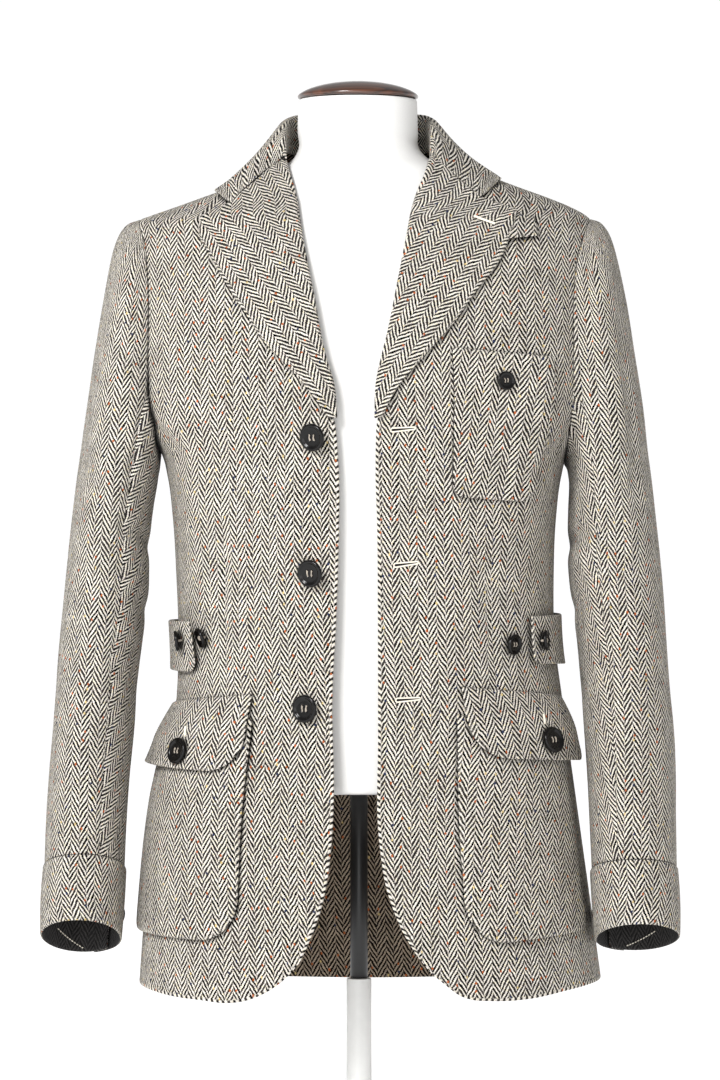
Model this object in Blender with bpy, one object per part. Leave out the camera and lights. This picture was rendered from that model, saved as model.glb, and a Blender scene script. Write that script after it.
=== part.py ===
"""Tweed safari jacket on a limbless dress form with a round base.

All sizes are in millimetres and turned to metres by MM. +Z is up, -Y is the front, +X is the wearer's left.
The origin is the centre of the base's underside. The cloth is made of thin walls that follow one smooth
torso surface: what lies on a panel is made from the panel's own points, moved out along the surface's normal.
"""
import math

import bmesh
import bpy
import numpy as np

MM = 0.001

# ---- cloth and seams -------------------------------------------------------------------------------------
CLOTH = 2.0                # thickness of a body or sleeve panel
SEAM = 0.2                 # each panel stops this far short of its seam line
CLEAR = 0.6                # between a piece and the panel that it lies on
BODY_RADIUS = 190          # rough radii at the side seams and of a sleeve, to turn SEAM into degrees
SLEEVE_RADIUS = 50

# ---- the torso surface: the outer side of the jacket's panels ---------------------------------------------
#         height  right   left  front  back  squareness
TORSO = [
    (105, -204, 227, 141, 134, 2.30),
    (200, -197, 214, 138, 130, 2.30),
    (300, -186, 200, 131, 122, 2.30),
    (394, -168, 187, 123, 108, 2.30),
    (450, -166, 180, 117, 98, 2.30),
    (510, -168, 179, 115, 93, 2.30),
    (560, -171, 181, 118, 97, 2.30),
    (600, -176, 186, 122, 104, 2.30),
    (619, -181, 191, 123, 107, 2.30),
    (640, -196, 204, 124, 110, 2.30),
    (670, -207, 214, 125, 113, 2.30),
    (720, -212, 218, 121, 116, 2.30),
    (780, -213, 219, 108, 114, 2.20),
    (815, -212, 218, 95, 106, 2.05),
    (833, -207, 215, 86, 99, 1.90),
    (840, -189, 208, 82, 96, 1.80),
    (847, -169, 195, 78, 92, 1.75),
    (856, -144, 173, 73, 87, 1.75),
    (865, -119, 148, 68, 81, 1.80),
    (875, -95, 121, 63, 76, 1.85),
    (885, -77, 92, 59, 71, 1.95),
    (893, -66, 71, 57, 67, 2.00),
    (902, -60, 60, 55, 63, 2.00),
    (915, -57, 55, 54, 58, 2.00),
    (946, -56, 54, 54, 56, 2.00),
]
SIDE_SEAM = [(105, 97), (600, 90), (902, 90)]                 # height, turn from the centre front in degrees

# soft folds in the panels: turn and height of the middle, half width and half height, depth
DRAPE = [
    (62, 640, 9, 120, 5.0),
    (-66, 600, 8, 110, 4.0),
    (38, 470, 10, 90, 2.5),
    (-30, 520, 9, 110, 2.5),
    (152, 300, 12, 170, 5.0),
    (-155, 320, 12, 160, 5.0),
    (180, 560, 10, 120, -4.0),
    (118, 690, 9, 90, 4.0),
    (-118, 690, 9, 90, 4.0),
]

# heights of the rows of the front and back panels at the side, from the hem's row to the neck
PANEL_ROWS = (135, 172, 212, 252, 294, 335, 375, 412, 450, 488, 526, 562, 588, 604,
              616, 624, 636, 656, 688, 724, 760, 790, 811, 824, 830.5, 834.8, 836.3, 842, 850, 859, 868,
              877, 885)
HEM_FADE = 170             # the hem's curve has died out this far above it
BACK_HEM = 126             # height of the hem at the centre back
NECK_START = 846           # above this height the back panel's rows rise towards the nape
NECK_RISE = 13
FRONT_COLUMNS = 12
BACK_COLUMNS = 18

# each front: the armhole's edge, the front edge with the roll line above it, and the hem
ARMHOLE = {
    "right": [(606, -178), (640, -186), (690, -189.4), (782, -191.7), (812, -195), (829, -200), (838, -201)],
    "left": [(606, 188), (640, 190), (690, 192), (762, 194), (790, 197), (814, 203), (829, 208.5),
             (838, 213)],
}
FRONT_EDGE = {
    "right": [(165, -52.5), (187, -42.7), (210, -34.5), (231, -29.4), (265, -24.9), (309, -22.5),
              (397, -23.8), (478, -20), (545, -18), (602, -18), (647, -21.4), (684, -26.4), (702, -32),
              (763, -44.2), (805, -52.6), (837, -58), (864, -63.2), (889, -66)],
    "left": [(171, 51.6), (190, 40), (212, 30.5), (233, 23.8), (256, 19.9), (283, 17), (362, 17), (478, 16.9),
             (553, 16.3), (602, 14.8), (647, 15.8), (684, 18.9), (730, 29.5), (774, 38.2), (818, 46.8),
             (846, 52.4), (862, 57.6), (887, 64)],
}
HEM = {
    "right": [(-203, 135), (-170, 130), (-144, 128.4), (-116.6, 127), (-97, 131), (-77.5, 141), (-66, 150),
              (-52.5, 165)],
    "left": [(226, 140), (190, 135.5), (153, 130), (117, 129.5), (99, 131.5), (90, 135), (76.6, 145),
             (63, 157), (51.6, 171)],
}

# ---- lapels: the roll line is the front edge's upper part -------------------------------------------------
LAPEL_THICK = 2.0
LAPEL_ROLL = 6.4           # height of the soft roll over the front panel
LAPEL_REST = 5.2           # height of the lapel's outer side over the front panel
LAPEL_HEM = 3.6            # height of its roll line and of its lower end
LAPEL_FOOT = 650           # height of the lower end of the roll
LAPEL_COLUMNS = 6
LAPEL_ROWS = 14
# across the top: the gorge seam, the notch and the lapel's corner; then down the outer edge
GORGE = {
    "right": [(-68, 886), (-80, 876.5), (-92, 866), (-104, 855.5), (-115.7, 844.5), (-129, 838), (-143, 831)],
    "left": [(66.5, 884.5), (78, 876), (89, 866.5), (101.6, 856), (109.5, 849.6), (126, 843.5), (142, 838)],
}
LAPEL_EDGE = {
    "right": [(831, -143), (816, -143.3), (794, -131.6), (773, -120), (739, -98), (716, -82.6), (696, -63),
              (675, -45), (661, -34.5), (650, -27)],
    "left": [(838, 142), (824, 138.5), (804, 131.7), (785, 121), (763, 104), (737, 86), (711, 63.5),
             (696, 50), (684, 39.3), (674, 32.1), (663, 26), (652, 21.5)],
}

# ---- collar: stations from its front end round the back of the neck ---------------------------------------
COLLAR_THICK = 2.0
#         roll line x, y, z     outer edge x, y, z    height of the inner stand
COLLAR = {
    "right": [
        (-66, -30, 890, -132, -30, 862, 2),
        (-66.5, -16, 908, -121, -12, 870, 12),
        (-65, 5, 921, -107, 8, 877, 24),
        (-60, 29, 930, -88, 30, 882, 32),
        (-46, 51, 935, -61, 54, 886, 36),
        (-24, 64, 937, -33, 69, 888, 37),
    ],
    "left": [
        (64.5, -34, 889, 130, -28, 873, 2),
        (65, -18, 908, 121, -8, 880, 12),
        (64.5, 5, 922, 108, 12, 884, 24),
        (60, 29, 931, 90, 34, 886, 32),
        (47, 51, 935, 64, 56, 887, 36),
        (25, 64, 937, 35, 70, 888, 37),
    ],
    "back": [(0.5, 68, 938, 1, 76, 888, 37)],
}
COLLAR_NOTCH = 4 / 6       # where the notch lies along the lapel's top
COLLAR_SEAM = 0.8          # the collar stands this far above the gorge seam
COLLAR_OVER = 3.4          # least height of the collar's outer side over the panels
COLLAR_ROLL = 7.5          # width of the rolled top from side to side
COLLAR_STEPS = 3           # columns between two stations
COLLAR_STAND = (1, 0.6, 0.25)                              # rows up the inner stand, as shares of its height
# points over the roll line: shares of the roll's width out from it, and heights over it
COLLAR_CREST = [(0.12, 0.8), (0.5, 2.6)]
FALL_START = (1.0, 1.0)
FALL_BEND = (1.7, 0.5)
COLLAR_FALL = (0.08, 0.24, 0.42, 0.6, 0.78, 1.0)           # rows of the fall from the roll to the outer edge

# ---- sleeves: the inner and outer silhouette from the armhole to the cuff, and the depth -------------------
#         inner x, z     outer x, z     middle y  half depth  lean in degrees
SLEEVE = {
    "right": [
        (-183.4, 606, -215, 829, 0, 66, 0),
        (-184.4, 601, -225.5, 808, 0, 70, 0),
        (-185, 597, -235, 760, 0, 72, 0),
        (-185.6, 592, -243, 712, 0, 72, 0),
        (-187, 584, -250, 668, 0, 71, 0),
        (-189, 572, -257, 620, 0, 70, 0),
        (-191.5, 551, -264.5, 556, 0, 67, 1),
        (-193, 522, -268, 524, 2, 65, 2),
        (-194, 488, -271.5, 488, 2, 63, 5),
        (-199, 450, -275, 450, -2, 62, 9),
        (-203.5, 412, -278, 412, -7, 61, 12),
        (-206, 370, -281.5, 370, -13, 60, 14),
        (-210, 326, -284, 326, -20, 58, 15),
        (-212.5, 284, -286, 284, -27, 56, 16),
        (-214, 243, -287, 243, -34, 54, 16),
    ],
    "left": [
        (191.4, 606, 224, 831, 0, 66, 0),
        (192.4, 601, 234, 812, 0, 70, 0),
        (193, 597, 245.5, 762, 0, 72, 0),
        (193.4, 592, 253.5, 712, 0, 72, 0),
        (193.2, 584, 260.5, 668, 0, 71, 0),
        (192.6, 572, 266.5, 620, 0, 70, 0),
        (192, 551, 273.5, 556, -1, 67, 1),
        (192, 522, 277, 524, -1, 65, 2),
        (195, 488, 280, 488, -3, 63, 5),
        (200, 450, 282, 450, -9, 62, 9),
        (203, 412, 284, 412, -17, 61, 12),
        (205.5, 370, 286.5, 370, -29, 60, 14),
        (208, 326, 287.5, 326, -41, 58, 15),
        (209.5, 284, 288, 284, -52, 56, 14),
        (211, 243, 288, 243, -61, 54, 13),
    ],
}
SLEEVE_GAP = 0.9           # between the armhole's edge and the sleeve head
SLEEVE_HEAD_SHARE = 0.999  # of the armhole's height that the sleeve head fills
SLEEVE_HEAD_RINGS = 6      # the armhole's own outline fades out over this many rings
SLEEVE_SEAM_TURN = 112     # the two sleeve seams, in degrees either side of the outer line
TOP_COLUMNS = 12
UNDER_COLUMNS = 6
# creases round the elbow: turn round the sleeve, height, half turn, half height, depth
SLEEVE_FOLDS = [
    (150, 545, 50, 9, -4.0),
    (95, 500, 45, 11, -3.5),
    (60, 585, 45, 14, -3.0),
    (215, 470, 45, 10, -3.0),
    (120, 420, 45, 12, -2.5),
]
CREASE_SLANT = 0.25        # a crease climbs this much for each degree round the sleeve

# ---- cuffs: sewn on bands with a lap at the back ----------------------------------------------------------
CUFF_THICK = 2.4
CUFF_PROUD = 1.2           # a cuff is this much wider than the sleeve all round
#         inner x, outer x, z, middle y, half depth, lean
CUFF_RIM = {"right": (-217.5, -288.5, 181, -51, 52, 17), "left": (215, 289, 182, -75, 52, 14)}
CUFF_LAP_START = 232       # where the band begins, in degrees from the outer line by the front
CUFF_LAP = 24              # degrees of overlap
CUFF_LAP_RISE = 3.2
CUFF_LAP_CLIMB = (300, 355)                                # degrees along the band over which it climbs
CUFF_COLUMNS = 24
CUFF_ROWS = 3

# ---- patches that lie on the panels: pockets, flaps and tabs ----------------------------------------------
# turn from and to, bottom height at each end, top height at each end, bottom corner radius at each end,
# thickness, height of the outer side over the panel, columns, rows
PATCHES = {
    "pocket_right": (-94, -44, 185, 182, 372, 380, 22, 38, 3.1, 6.9, 10, 8),
    "pocket_left": (33.5, 73, 181, 187, 384, 378, 40, 14, 3.1, 6.9, 10, 8),
    "flap_right": (-91, -45, 334, 332, 391, 402.5, 10, 34, 2.2, 10.0, 10, 6),
    "flap_left": (36, 79, 344, 339, 409.5, 399, 44, 10, 2.2, 10.0, 10, 6),
    "pocket_chest": (34.5, 63, 579, 576, 713.5, 706, 14, 16, 2.2, 3.4, 9, 7),
    "tab_right": (-104, -66, 424, 421, 468, 468, 1, 11, 2.2, 3.4, 7, 4),
    "tab_left": (63, 100, 428, 426, 472, 474, 9, 1, 2.2, 3.4, 7, 4),
}
BELLOWS_EDGE = 3.4         # height of the foot of a bellows pocket's gusset
FLAP_HINGE = 16            # a flap leaves the panel over this height below its top seam
FLAP_SEAM = 3.0            # height of its outer side at that seam
PATCH_SPREAD = 1.5         # power that brings a patch's rows closer together at its rounded bottom
TAB_LIFT = 4.5             # how far the free end of a side tab stands off
PLEAT_TURN = 53.5          # the chest pocket's pleat
PLEAT_RISE = 1.6
PLEAT_WIDTH = 3            # degrees over which it climbs
THROAT_TAB = [(133, 811), (160.3, 814.4), (158.9, 833), (138, 837)]      # x and height of its corners
THROAT_THICK = 1.8

# ---- buttons ----------------------------------------------------------------------------------------------
BUTTON_SEGMENTS = 12
BUTTON_GAP = 0.3           # under a button
BUTTON_THICK = 0.17        # of its diameter
# shares of its radius and of its thickness, from the underside over the rim to the sunk face
BUTTON_PROFILE = [(0.86, 0), (1, 0.35), (0.97, 0.9), (0.86, 1), (0.68, 0.72)]
BUTTON_FACE = 0.68
FRONT_BUTTON = 25
SMALL_BUTTON = 17
POCKET_BUTTON = 24
TAB_BUTTON = 19
# diameter, x, height, height of the cloth under it over the panel
BUTTONS = {
    "button_front_top": (FRONT_BUTTON, -40.2, 633, 0),
    "button_front_middle": (FRONT_BUTTON, -42.1, 511.4, 0),
    "button_front_bottom": (FRONT_BUTTON, -46.5, 390, 0),
    "button_chest": (SMALL_BUTTON, 129.5, 683.6, 3.6),
    "button_flap_right": (POCKET_BUTTON, -153, 348, 10.4),
    "button_flap_left": (POCKET_BUTTON, 164, 358.9, 10.4),
    "button_tab_right": (TAB_BUTTON, -152.4, 450, 7.1),
    "button_tab_left": (TAB_BUTTON, 158.6, 449.3, 7.3),
    "button_waist_right": (TAB_BUTTON, -139, 453, 0),
    "button_waist_left": (TAB_BUTTON, 137, 447, 0),
}
CUFF_BUTTON_TURN = 222     # on the lapped end of each cuff
CUFF_BUTTON_AT = 0.55      # of the way from the cuff's seam to its rim
CUFF_BUTTON_RISE = 0.6     # over the curved band, which its flat back would cut

# ---- the dress form and its stand -------------------------------------------------------------------------
#         height, how far the form's surface lies inside the jacket's outer side
FORM_INSET = [(311, 20), (340, 19), (400, 17), (500, 13), (600, 11), (700, 10), (780, 7), (815, 4.4),
              (830, 3.5), (852, 3.3), (862, 2.9), (875, 2.9), (885, 3.6), (893, 4.4), (902, 4.0), (915, 0),
              (946, 0)]
FORM_ROWS = (312, 345, 390, 440, 500, 560, 610, 650, 700, 750, 790, 816, 831, 839, 848, 857, 866, 876, 886,
             896, 908, 925, 946)
FORM_COLUMNS = 28
FORM_ARM_PLATE = 6         # the flat arm plates lie this far inside the armholes
CAP_BOTTOM = 946.3
CAP_PROFILE = [(53, 0), (55, 1.5), (55.5, 4), (54, 7), (47, 10.5), (34, 13.6), (17, 15.3)]    # radius, height
CAP_TOP = 15.8
CAP_CENTRE_X = -1
CAP_SEGMENTS = 24
BASE_RADIUS = 160
SOCKET_RADIUS = 11.5
SOCKET_TOP = 138
BASE_PROFILE = [(BASE_RADIUS, 0), (BASE_RADIUS, 7), (BASE_RADIUS - 4, 11), (60, 15), (28, 21),
                (SOCKET_RADIUS + 3, 32), (SOCKET_RADIUS, 46), (SOCKET_RADIUS, SOCKET_TOP)]
ROD_RADIUS = 8
ROD_SEGMENTS = 16
STAND_GAP = 0.3            # between the rod and what it stands in
BASE_SEGMENTS = 32

# ---- colours, linear --------------------------------------------------------------------------------------
TWEED = (0.40, 0.37, 0.33)
TWEED_DARK = (0.30, 0.28, 0.25)
HORN = (0.012, 0.011, 0.011)
COVER = (0.86, 0.85, 0.83)
WOOD = (0.10, 0.045, 0.028)
LACQUER = (0.82, 0.82, 0.81)
STEEL = (0.02, 0.02, 0.022)


# ---- curves through tables --------------------------------------------------------------------------------
def through(keys, values):
    """A smooth function through a short table."""
    keys = np.asarray(keys, float)
    values = np.asarray(values, float)
    if keys[0] > keys[-1]:
        keys = keys[::-1]
        values = values[::-1]
    slopes = np.gradient(values, keys)

    def at(key):
        key = min(max(key, keys[0]), keys[-1])
        i = min(max(int(np.searchsorted(keys, key)) - 1, 0), len(keys) - 2)
        span = keys[i + 1] - keys[i]
        t = (key - keys[i]) / span
        rise = values[i] * (2 * t**3 - 3 * t**2 + 1) + values[i + 1] * (3 * t**2 - 2 * t**3)
        return rise + span * (slopes[i] * (t**3 - 2 * t**2 + t) + slopes[i + 1] * (t**3 - t**2))

    return at


def columns(table):
    """One smooth function of the first column for each of the other columns."""
    data = list(zip(*table))
    return [through(data[0], values) for values in data[1:]]


def ease(t):
    """0 to 1 with soft ends."""
    t = min(max(t, 0.0), 1.0)
    return t * t * (3 - 2 * t)


def mix(a, b, t):
    return a + (b - a) * t


# ---- the torso surface ------------------------------------------------------------------------------------
TORSO_AT = columns(TORSO)
SEAM_TURN = through(*zip(*SIDE_SEAM))


def section(z):
    """Centre, half width, front and back depth and squareness of the torso at a height."""
    right, left, front, back, power = [at(z) for at in TORSO_AT]
    return (right + left) / 2, (left - right) / 2, front, back, power


def drape(z, turn):
    total = 0.0
    for mid_turn, mid_z, half_turn, half_z, depth in DRAPE:
        off = (turn - mid_turn + 180) % 360 - 180
        total += depth * math.exp(-(off / half_turn) ** 2 - ((z - mid_z) / half_z) ** 2)
    return total


def bare_point(z, turn, draped=True):
    """The torso surface at a height and a turn from the centre front, in degrees towards the left."""
    centre, half, front, back, power = section(z)
    s = math.sin(math.radians(turn))
    c = math.cos(math.radians(turn))
    depth = front if c > 0 else back
    radius = ((abs(s) / half) ** power + (abs(c) / depth) ** power) ** (-1 / power)
    radius += drape(z, turn) if draped else 0
    return np.array((centre + radius * s, -radius * c, z))


def normal(z, turn, draped=True):
    step = 0.4
    up = bare_point(z + step, turn, draped) - bare_point(z - step, turn, draped)
    along = bare_point(z, turn + step, draped) - bare_point(z, turn - step, draped)
    out = np.cross(along, up)
    return out / np.linalg.norm(out)


def on_torso(z, turn, lift=0.0, draped=True):
    return bare_point(z, turn, draped) + normal(z, turn, draped) * lift


def turn_at(x, z, back=False):
    """The turn at which the torso's front or back has this x."""
    centre, half, front, rear, power = section(z)
    share = min(abs(x - centre) / half, 1.0)
    depth = (1 - share**power) ** (1 / power) * (rear if back else front)
    turn = math.degrees(math.atan2(x - centre, -depth if back else depth))
    return turn


# ---- closed walls -----------------------------------------------------------------------------------------
def material(name, colour, roughness, metallic=0.0):
    mat = bpy.data.materials.new(name)
    mat.use_nodes = True
    shader = mat.node_tree.nodes["Principled BSDF"]
    shader.inputs["Base Color"].default_value = (*colour, 1)
    shader.inputs["Roughness"].default_value = roughness
    shader.inputs["Metallic"].default_value = metallic
    return mat


def add_solid(name, points, faces, mat, sharp=40):
    """A closed mesh, in metres, with its faces turned outwards."""
    mesh = bpy.data.meshes.new(name)
    mesh.from_pydata([tuple(float(v) * MM for v in p) for p in points], [], faces)
    work = bmesh.new()
    work.from_mesh(mesh)
    bmesh.ops.recalc_face_normals(work, faces=work.faces)
    bmesh.ops.triangulate(work, faces=work.faces)
    work.to_mesh(mesh)
    work.free()
    mesh.shade_smooth()
    mesh.set_sharp_from_angle(angle=math.radians(sharp))
    own = mat.copy()
    own.name = name
    mesh.materials.append(own)
    obj = bpy.data.objects.new(name, mesh)
    bpy.context.collection.objects.link(obj)
    return obj


def add_wall(name, outer, inner, mat):
    """A wall between two grids of points with the same rows and columns."""
    rows = len(outer)
    cols = len(outer[0])
    points = [p for row in outer for p in row] + [p for row in inner for p in row]
    depth = rows * cols
    faces = []
    for r in range(rows - 1):
        for c in range(cols - 1):
            a = r * cols + c
            faces.append((a, a + 1, a + cols + 1, a + cols))
            faces.append((a + depth, a + cols + depth, a + cols + 1 + depth, a + 1 + depth))
    rim = [c for c in range(cols)]
    rim += [r * cols + cols - 1 for r in range(1, rows)]
    rim += [(rows - 1) * cols + c for c in range(cols - 2, -1, -1)]
    rim += [r * cols for r in range(rows - 2, 0, -1)]
    for here, there in zip(rim, rim[1:] + rim[:1]):
        faces.append((here, here + depth, there + depth, there))
    return add_solid(name, points, faces, mat)


def grid_normals(grid):
    """Unit normals of a grid of points, from its own rows and columns."""
    points = np.array(grid, float)
    down = np.gradient(points, axis=0)
    along = np.gradient(points, axis=1)
    out = np.cross(along, down)
    return out / np.linalg.norm(out, axis=2, keepdims=True)


def add_sheet(name, grid, thick, mat, flip=False):
    """A wall whose outer side is the grid."""
    out = grid_normals(grid) * (-1 if flip else 1)
    inner = np.array(grid, float) - out * thick
    return add_wall(name, [list(row) for row in grid], [list(row) for row in inner], mat)


def add_turned(name, profile, segments, place, mat, top=None):
    """A turned piece: rings of (radius, height) between two flat or pointed ends."""
    points = []
    for radius, height in profile:
        for k in range(segments):
            angle = math.tau * k / segments
            points.append(place(radius * math.cos(angle), radius * math.sin(angle), height))
    faces = []
    for ring in range(len(profile) - 1):
        for k in range(segments):
            a = ring * segments + k
            b = ring * segments + (k + 1) % segments
            faces.append((a, b, b + segments, a + segments))
    faces.append(tuple(range(segments - 1, -1, -1)))
    last = (len(profile) - 1) * segments
    if top is None:
        faces.append(tuple(last + k for k in range(segments)))
    else:
        points.append(place(0, 0, top))
        faces += [(last + k, last + (k + 1) % segments, len(points) - 1) for k in range(segments)]
    return add_solid(name, points, faces, mat)


# ---- body panels ------------------------------------------------------------------------------------------
SIDE_SIGN = {"right": -1, "left": 1}
ARMHOLE_X = {side: through(*zip(*ARMHOLE[side])) for side in ARMHOLE}
EDGE_X = {side: through(*zip(*FRONT_EDGE[side])) for side in FRONT_EDGE}
HEM_Z = {side: through(*zip(*HEM[side])) for side in HEM}


def outermost(z, side):
    centre, half = section(z)[:2]
    return centre + SIDE_SIGN[side] * half


def armhole_end(side, low, high):
    """The height at which the armhole's edge meets the torso's outermost line."""
    for _ in range(40):
        middle = (low + high) / 2
        inside = abs(ARMHOLE_X[side](middle)) < abs(outermost(middle, side))
        inside_low = abs(ARMHOLE_X[side](low)) < abs(outermost(low, side))
        low, high = (middle, high) if inside == inside_low else (low, middle)
    return (low + high) / 2


ARMHOLE_SPAN = {side: (armhole_end(side, 607, 640), armhole_end(side, 815, 837.9)) for side in ARMHOLE}


def panel_start(z, side, back):
    """Turn of a panel's side: the armhole's edge, or else the side or shoulder seam."""
    low, high = ARMHOLE_SPAN[side]
    sign = SIDE_SIGN[side]
    spare = math.degrees(SEAM / BODY_RADIUS)
    if low < z < high:
        return turn_at(ARMHOLE_X[side](z), z, back)
    return sign * (SEAM_TURN(z) + (spare if back else -spare))


def front_grid(side, lift):
    low_edge = FRONT_EDGE[side][0][0]
    top = FRONT_EDGE[side][-1][0]
    grid = []
    for z_side in PANEL_ROWS:
        fade = 1 - ease((z_side - PANEL_ROWS[0]) / HEM_FADE)
        z_edge = min(z_side + (low_edge - PANEL_ROWS[0]) * fade, top)
        start = panel_start(z_side, side, False)
        end = turn_at(EDGE_X[side](z_edge), z_edge)
        row = []
        for k in range(FRONT_COLUMNS + 1):
            share = k / FRONT_COLUMNS
            turn = mix(start, end, share)
            z = mix(z_side, z_edge, share)
            z += fade * (hem_height(side, turn, share) - mix(PANEL_ROWS[0], low_edge, share))
            row.append(on_torso(z, turn, lift))
        grid.append(row)
    return grid


def hem_height(side, turn, share):
    """The hem's height where a column of the front comes down to it."""
    z = mix(PANEL_ROWS[0], FRONT_EDGE[side][0][0], share)
    for _ in range(4):
        z = HEM_Z[side](bare_point(z, turn)[0])
    return z


def back_grid(lift):
    grid = []
    for z_side in PANEL_ROWS:
        fade = 1 - ease((z_side - PANEL_ROWS[0]) / HEM_FADE)
        start = panel_start(z_side, "left", True)
        end = panel_start(z_side, "right", True) + 360
        row = []
        for k in range(BACK_COLUMNS + 1):
            share = k / BACK_COLUMNS
            arch = math.sin(math.pi * share)
            z = z_side + fade * (BACK_HEM - PANEL_ROWS[0]) * arch
            z += NECK_RISE * ease((z_side - NECK_START) / (PANEL_ROWS[-1] - NECK_START)) * math.sqrt(arch)
            row.append(on_torso(z, mix(start, end, share), lift))
        grid.append(row)
    return grid


def add_body(mat):
    for side in SIDE_SIGN:
        add_wall("front_" + side, front_grid(side, 0), front_grid(side, -CLOTH), mat)
    add_wall("back", back_grid(0), back_grid(-CLOTH), mat)


# ---- lapels and collar ------------------------------------------------------------------------------------
def lapel_outline(side):
    """The roll line's and the outer edge's points, row by row from the top."""
    top_in = GORGE[side][0]
    foot = LAPEL_EDGE[side][-1][0]
    edge_x = through(*zip(*LAPEL_EDGE[side]))
    corner = GORGE[side][-1]
    rolls = []
    edges = []
    for r in range(LAPEL_ROWS + 1):
        share = r / LAPEL_ROWS
        z_roll = mix(top_in[1], LAPEL_FOOT, share)
        rolls.append((EDGE_X[side](z_roll) if r else top_in[0], z_roll))
        z_edge = mix(corner[1], foot, share)
        edges.append((edge_x(z_edge), z_edge))
    return rolls, edges


def lapel_grid(side, under):
    rolls, edges = lapel_outline(side)
    steps = np.linspace(0, 1, len(GORGE[side]))
    top_x = through(steps, [p[0] for p in GORGE[side]])
    top_z = through(steps, [p[1] for p in GORGE[side]])
    grid = []
    for r in range(LAPEL_ROWS + 1):
        share = r / LAPEL_ROWS
        fade = (1 - ease(share * 3)) if r else 1
        row = []
        for c in range(LAPEL_COLUMNS + 1):
            u = c / LAPEL_COLUMNS
            x = mix(rolls[r][0], edges[r][0], u)
            z = mix(rolls[r][1], edges[r][1], u)
            x += fade * (top_x(u) - mix(rolls[0][0], edges[0][0], u))
            z += fade * (top_z(u) - mix(rolls[0][1], edges[0][1], u))
            row.append(on_torso(z, turn_at(x, z), lapel_lift(u, share) - under))
        grid.append(row)
    return grid


def lapel_lift(u, share):
    """Height of the lapel over the front, from the roll line out and from its top down."""
    lift = mix(LAPEL_REST, LAPEL_ROLL, math.sin(math.pi * u) * ease(share * 4))
    lift = mix(LAPEL_HEM, lift, ease(u * 3))
    return mix(lift, LAPEL_HEM, ease(share * 6 - 5))


def add_lapels(mat):
    for side in SIDE_SIGN:
        add_wall("lapel_" + side, lapel_grid(side, 0), lapel_grid(side, LAPEL_THICK), mat)


def collar_station(values):
    """One cross-section: up the inner stand, over the roll and down the fall."""
    roll = np.array(values[0:3], float)
    edge = np.array(values[3:6], float)
    stand = values[6]
    out = edge - roll
    out[2] = 0
    out /= np.linalg.norm(out)
    up = np.array((0, 0, 1.0))

    def over(place):
        return roll + out * COLLAR_ROLL * place[0] + up * place[1]

    points = [roll - up * share * stand for share in COLLAR_STAND]
    points += [over(place) for place in COLLAR_CREST]
    for t in COLLAR_FALL:
        points.append((1 - t) ** 2 * over(FALL_START) + 2 * t * (1 - t) * over(FALL_BEND) + t * t * edge)
    return points


def raised(point, lift):
    """The point, moved out where it is closer to the panels than the lift."""
    for _ in range(3):
        centre = section(point[2])[0]
        turn = math.degrees(math.atan2(point[0] - centre, -point[1]))
        out = normal(point[2], turn)
        height = float(np.dot(point - bare_point(point[2], turn), out))
        point = point + out * max(lift - height, 0)
    return point


def gorge_row(side):
    """The collar's front end: along the gorge seam to the notch, then to its corner."""
    steps = np.linspace(0, 1, len(GORGE[side]))
    gorge_x = through(steps, [p[0] for p in GORGE[side]])
    gorge_z = through(steps, [p[1] for p in GORGE[side]])
    row = []
    for t in COLLAR_FALL[:-1]:
        u = t / COLLAR_FALL[-2] * COLLAR_NOTCH
        z = gorge_z(u) + COLLAR_SEAM
        row.append(on_torso(z, turn_at(gorge_x(u), z), lapel_lift(u, 0)))
    return row


def collar_grid():
    """Cross-sections from the right front end round the neck to the left one."""
    stations = COLLAR["right"] + COLLAR["back"] + COLLAR["left"][::-1]
    keys = list(range(len(stations)))
    curves = [through(keys, values) for values in zip(*stations)]
    count = (len(stations) - 1) * COLLAR_STEPS
    grid = []
    for k in range(count + 1):
        at = k / COLLAR_STEPS
        grid.append(collar_station([curve(at) for curve in curves]))
    falls = len(COLLAR_FALL)
    for side, order in (("right", range(0, COLLAR_STEPS)), ("left", range(count, count - COLLAR_STEPS, -1))):
        end = gorge_row(side)
        shift = [seam - general for seam, general in zip(end, grid[order[0]][-falls:-1])]
        for k, at in enumerate(order):
            for n, move in enumerate(shift):
                grid[at][n - falls] = grid[at][n - falls] + move * (1 - k / COLLAR_STEPS)
    for row in grid[1:-1]:
        for n in range(-falls, 0):
            row[n] = raised(row[n], COLLAR_OVER)
    return grid


def add_collar(mat):
    add_sheet("collar", collar_grid(), COLLAR_THICK, mat, flip=True)


# ---- sleeves and cuffs ------------------------------------------------------------------------------------
def armhole_ring(side, angle):
    """A point of the armhole's edge; 0 is the top, 90 the front and 180 the underarm."""
    low, high = ARMHOLE_SPAN[side]
    z = (low + high) / 2 + (high - low) / 2 * SLEEVE_HEAD_SHARE * math.cos(math.radians(angle))
    behind = math.sin(math.radians(angle)) < 0
    point = bare_point(z, turn_at(ARMHOLE_X[side](z), z, behind))
    point[0] += SIDE_SIGN[side] * SLEEVE_GAP
    return point


def oval_ring(values, angle, grow=0.0):
    """A point of a leaning oval between the inner and outer silhouette."""
    in_x, in_z, out_x, out_z, mid_y, deep, lean = values
    c = math.cos(math.radians(angle))
    s = math.sin(math.radians(angle))
    across = np.array((out_x - in_x, 0, out_z - in_z), float) / 2
    middle = np.array(((in_x + out_x) / 2, mid_y, (in_z + out_z) / 2))
    forward = np.array((0, -math.cos(math.radians(lean)), math.sin(math.radians(lean))))
    length = np.linalg.norm(across)
    return middle + across * c * (1 + grow / length) + forward * s * (deep + grow)


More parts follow.
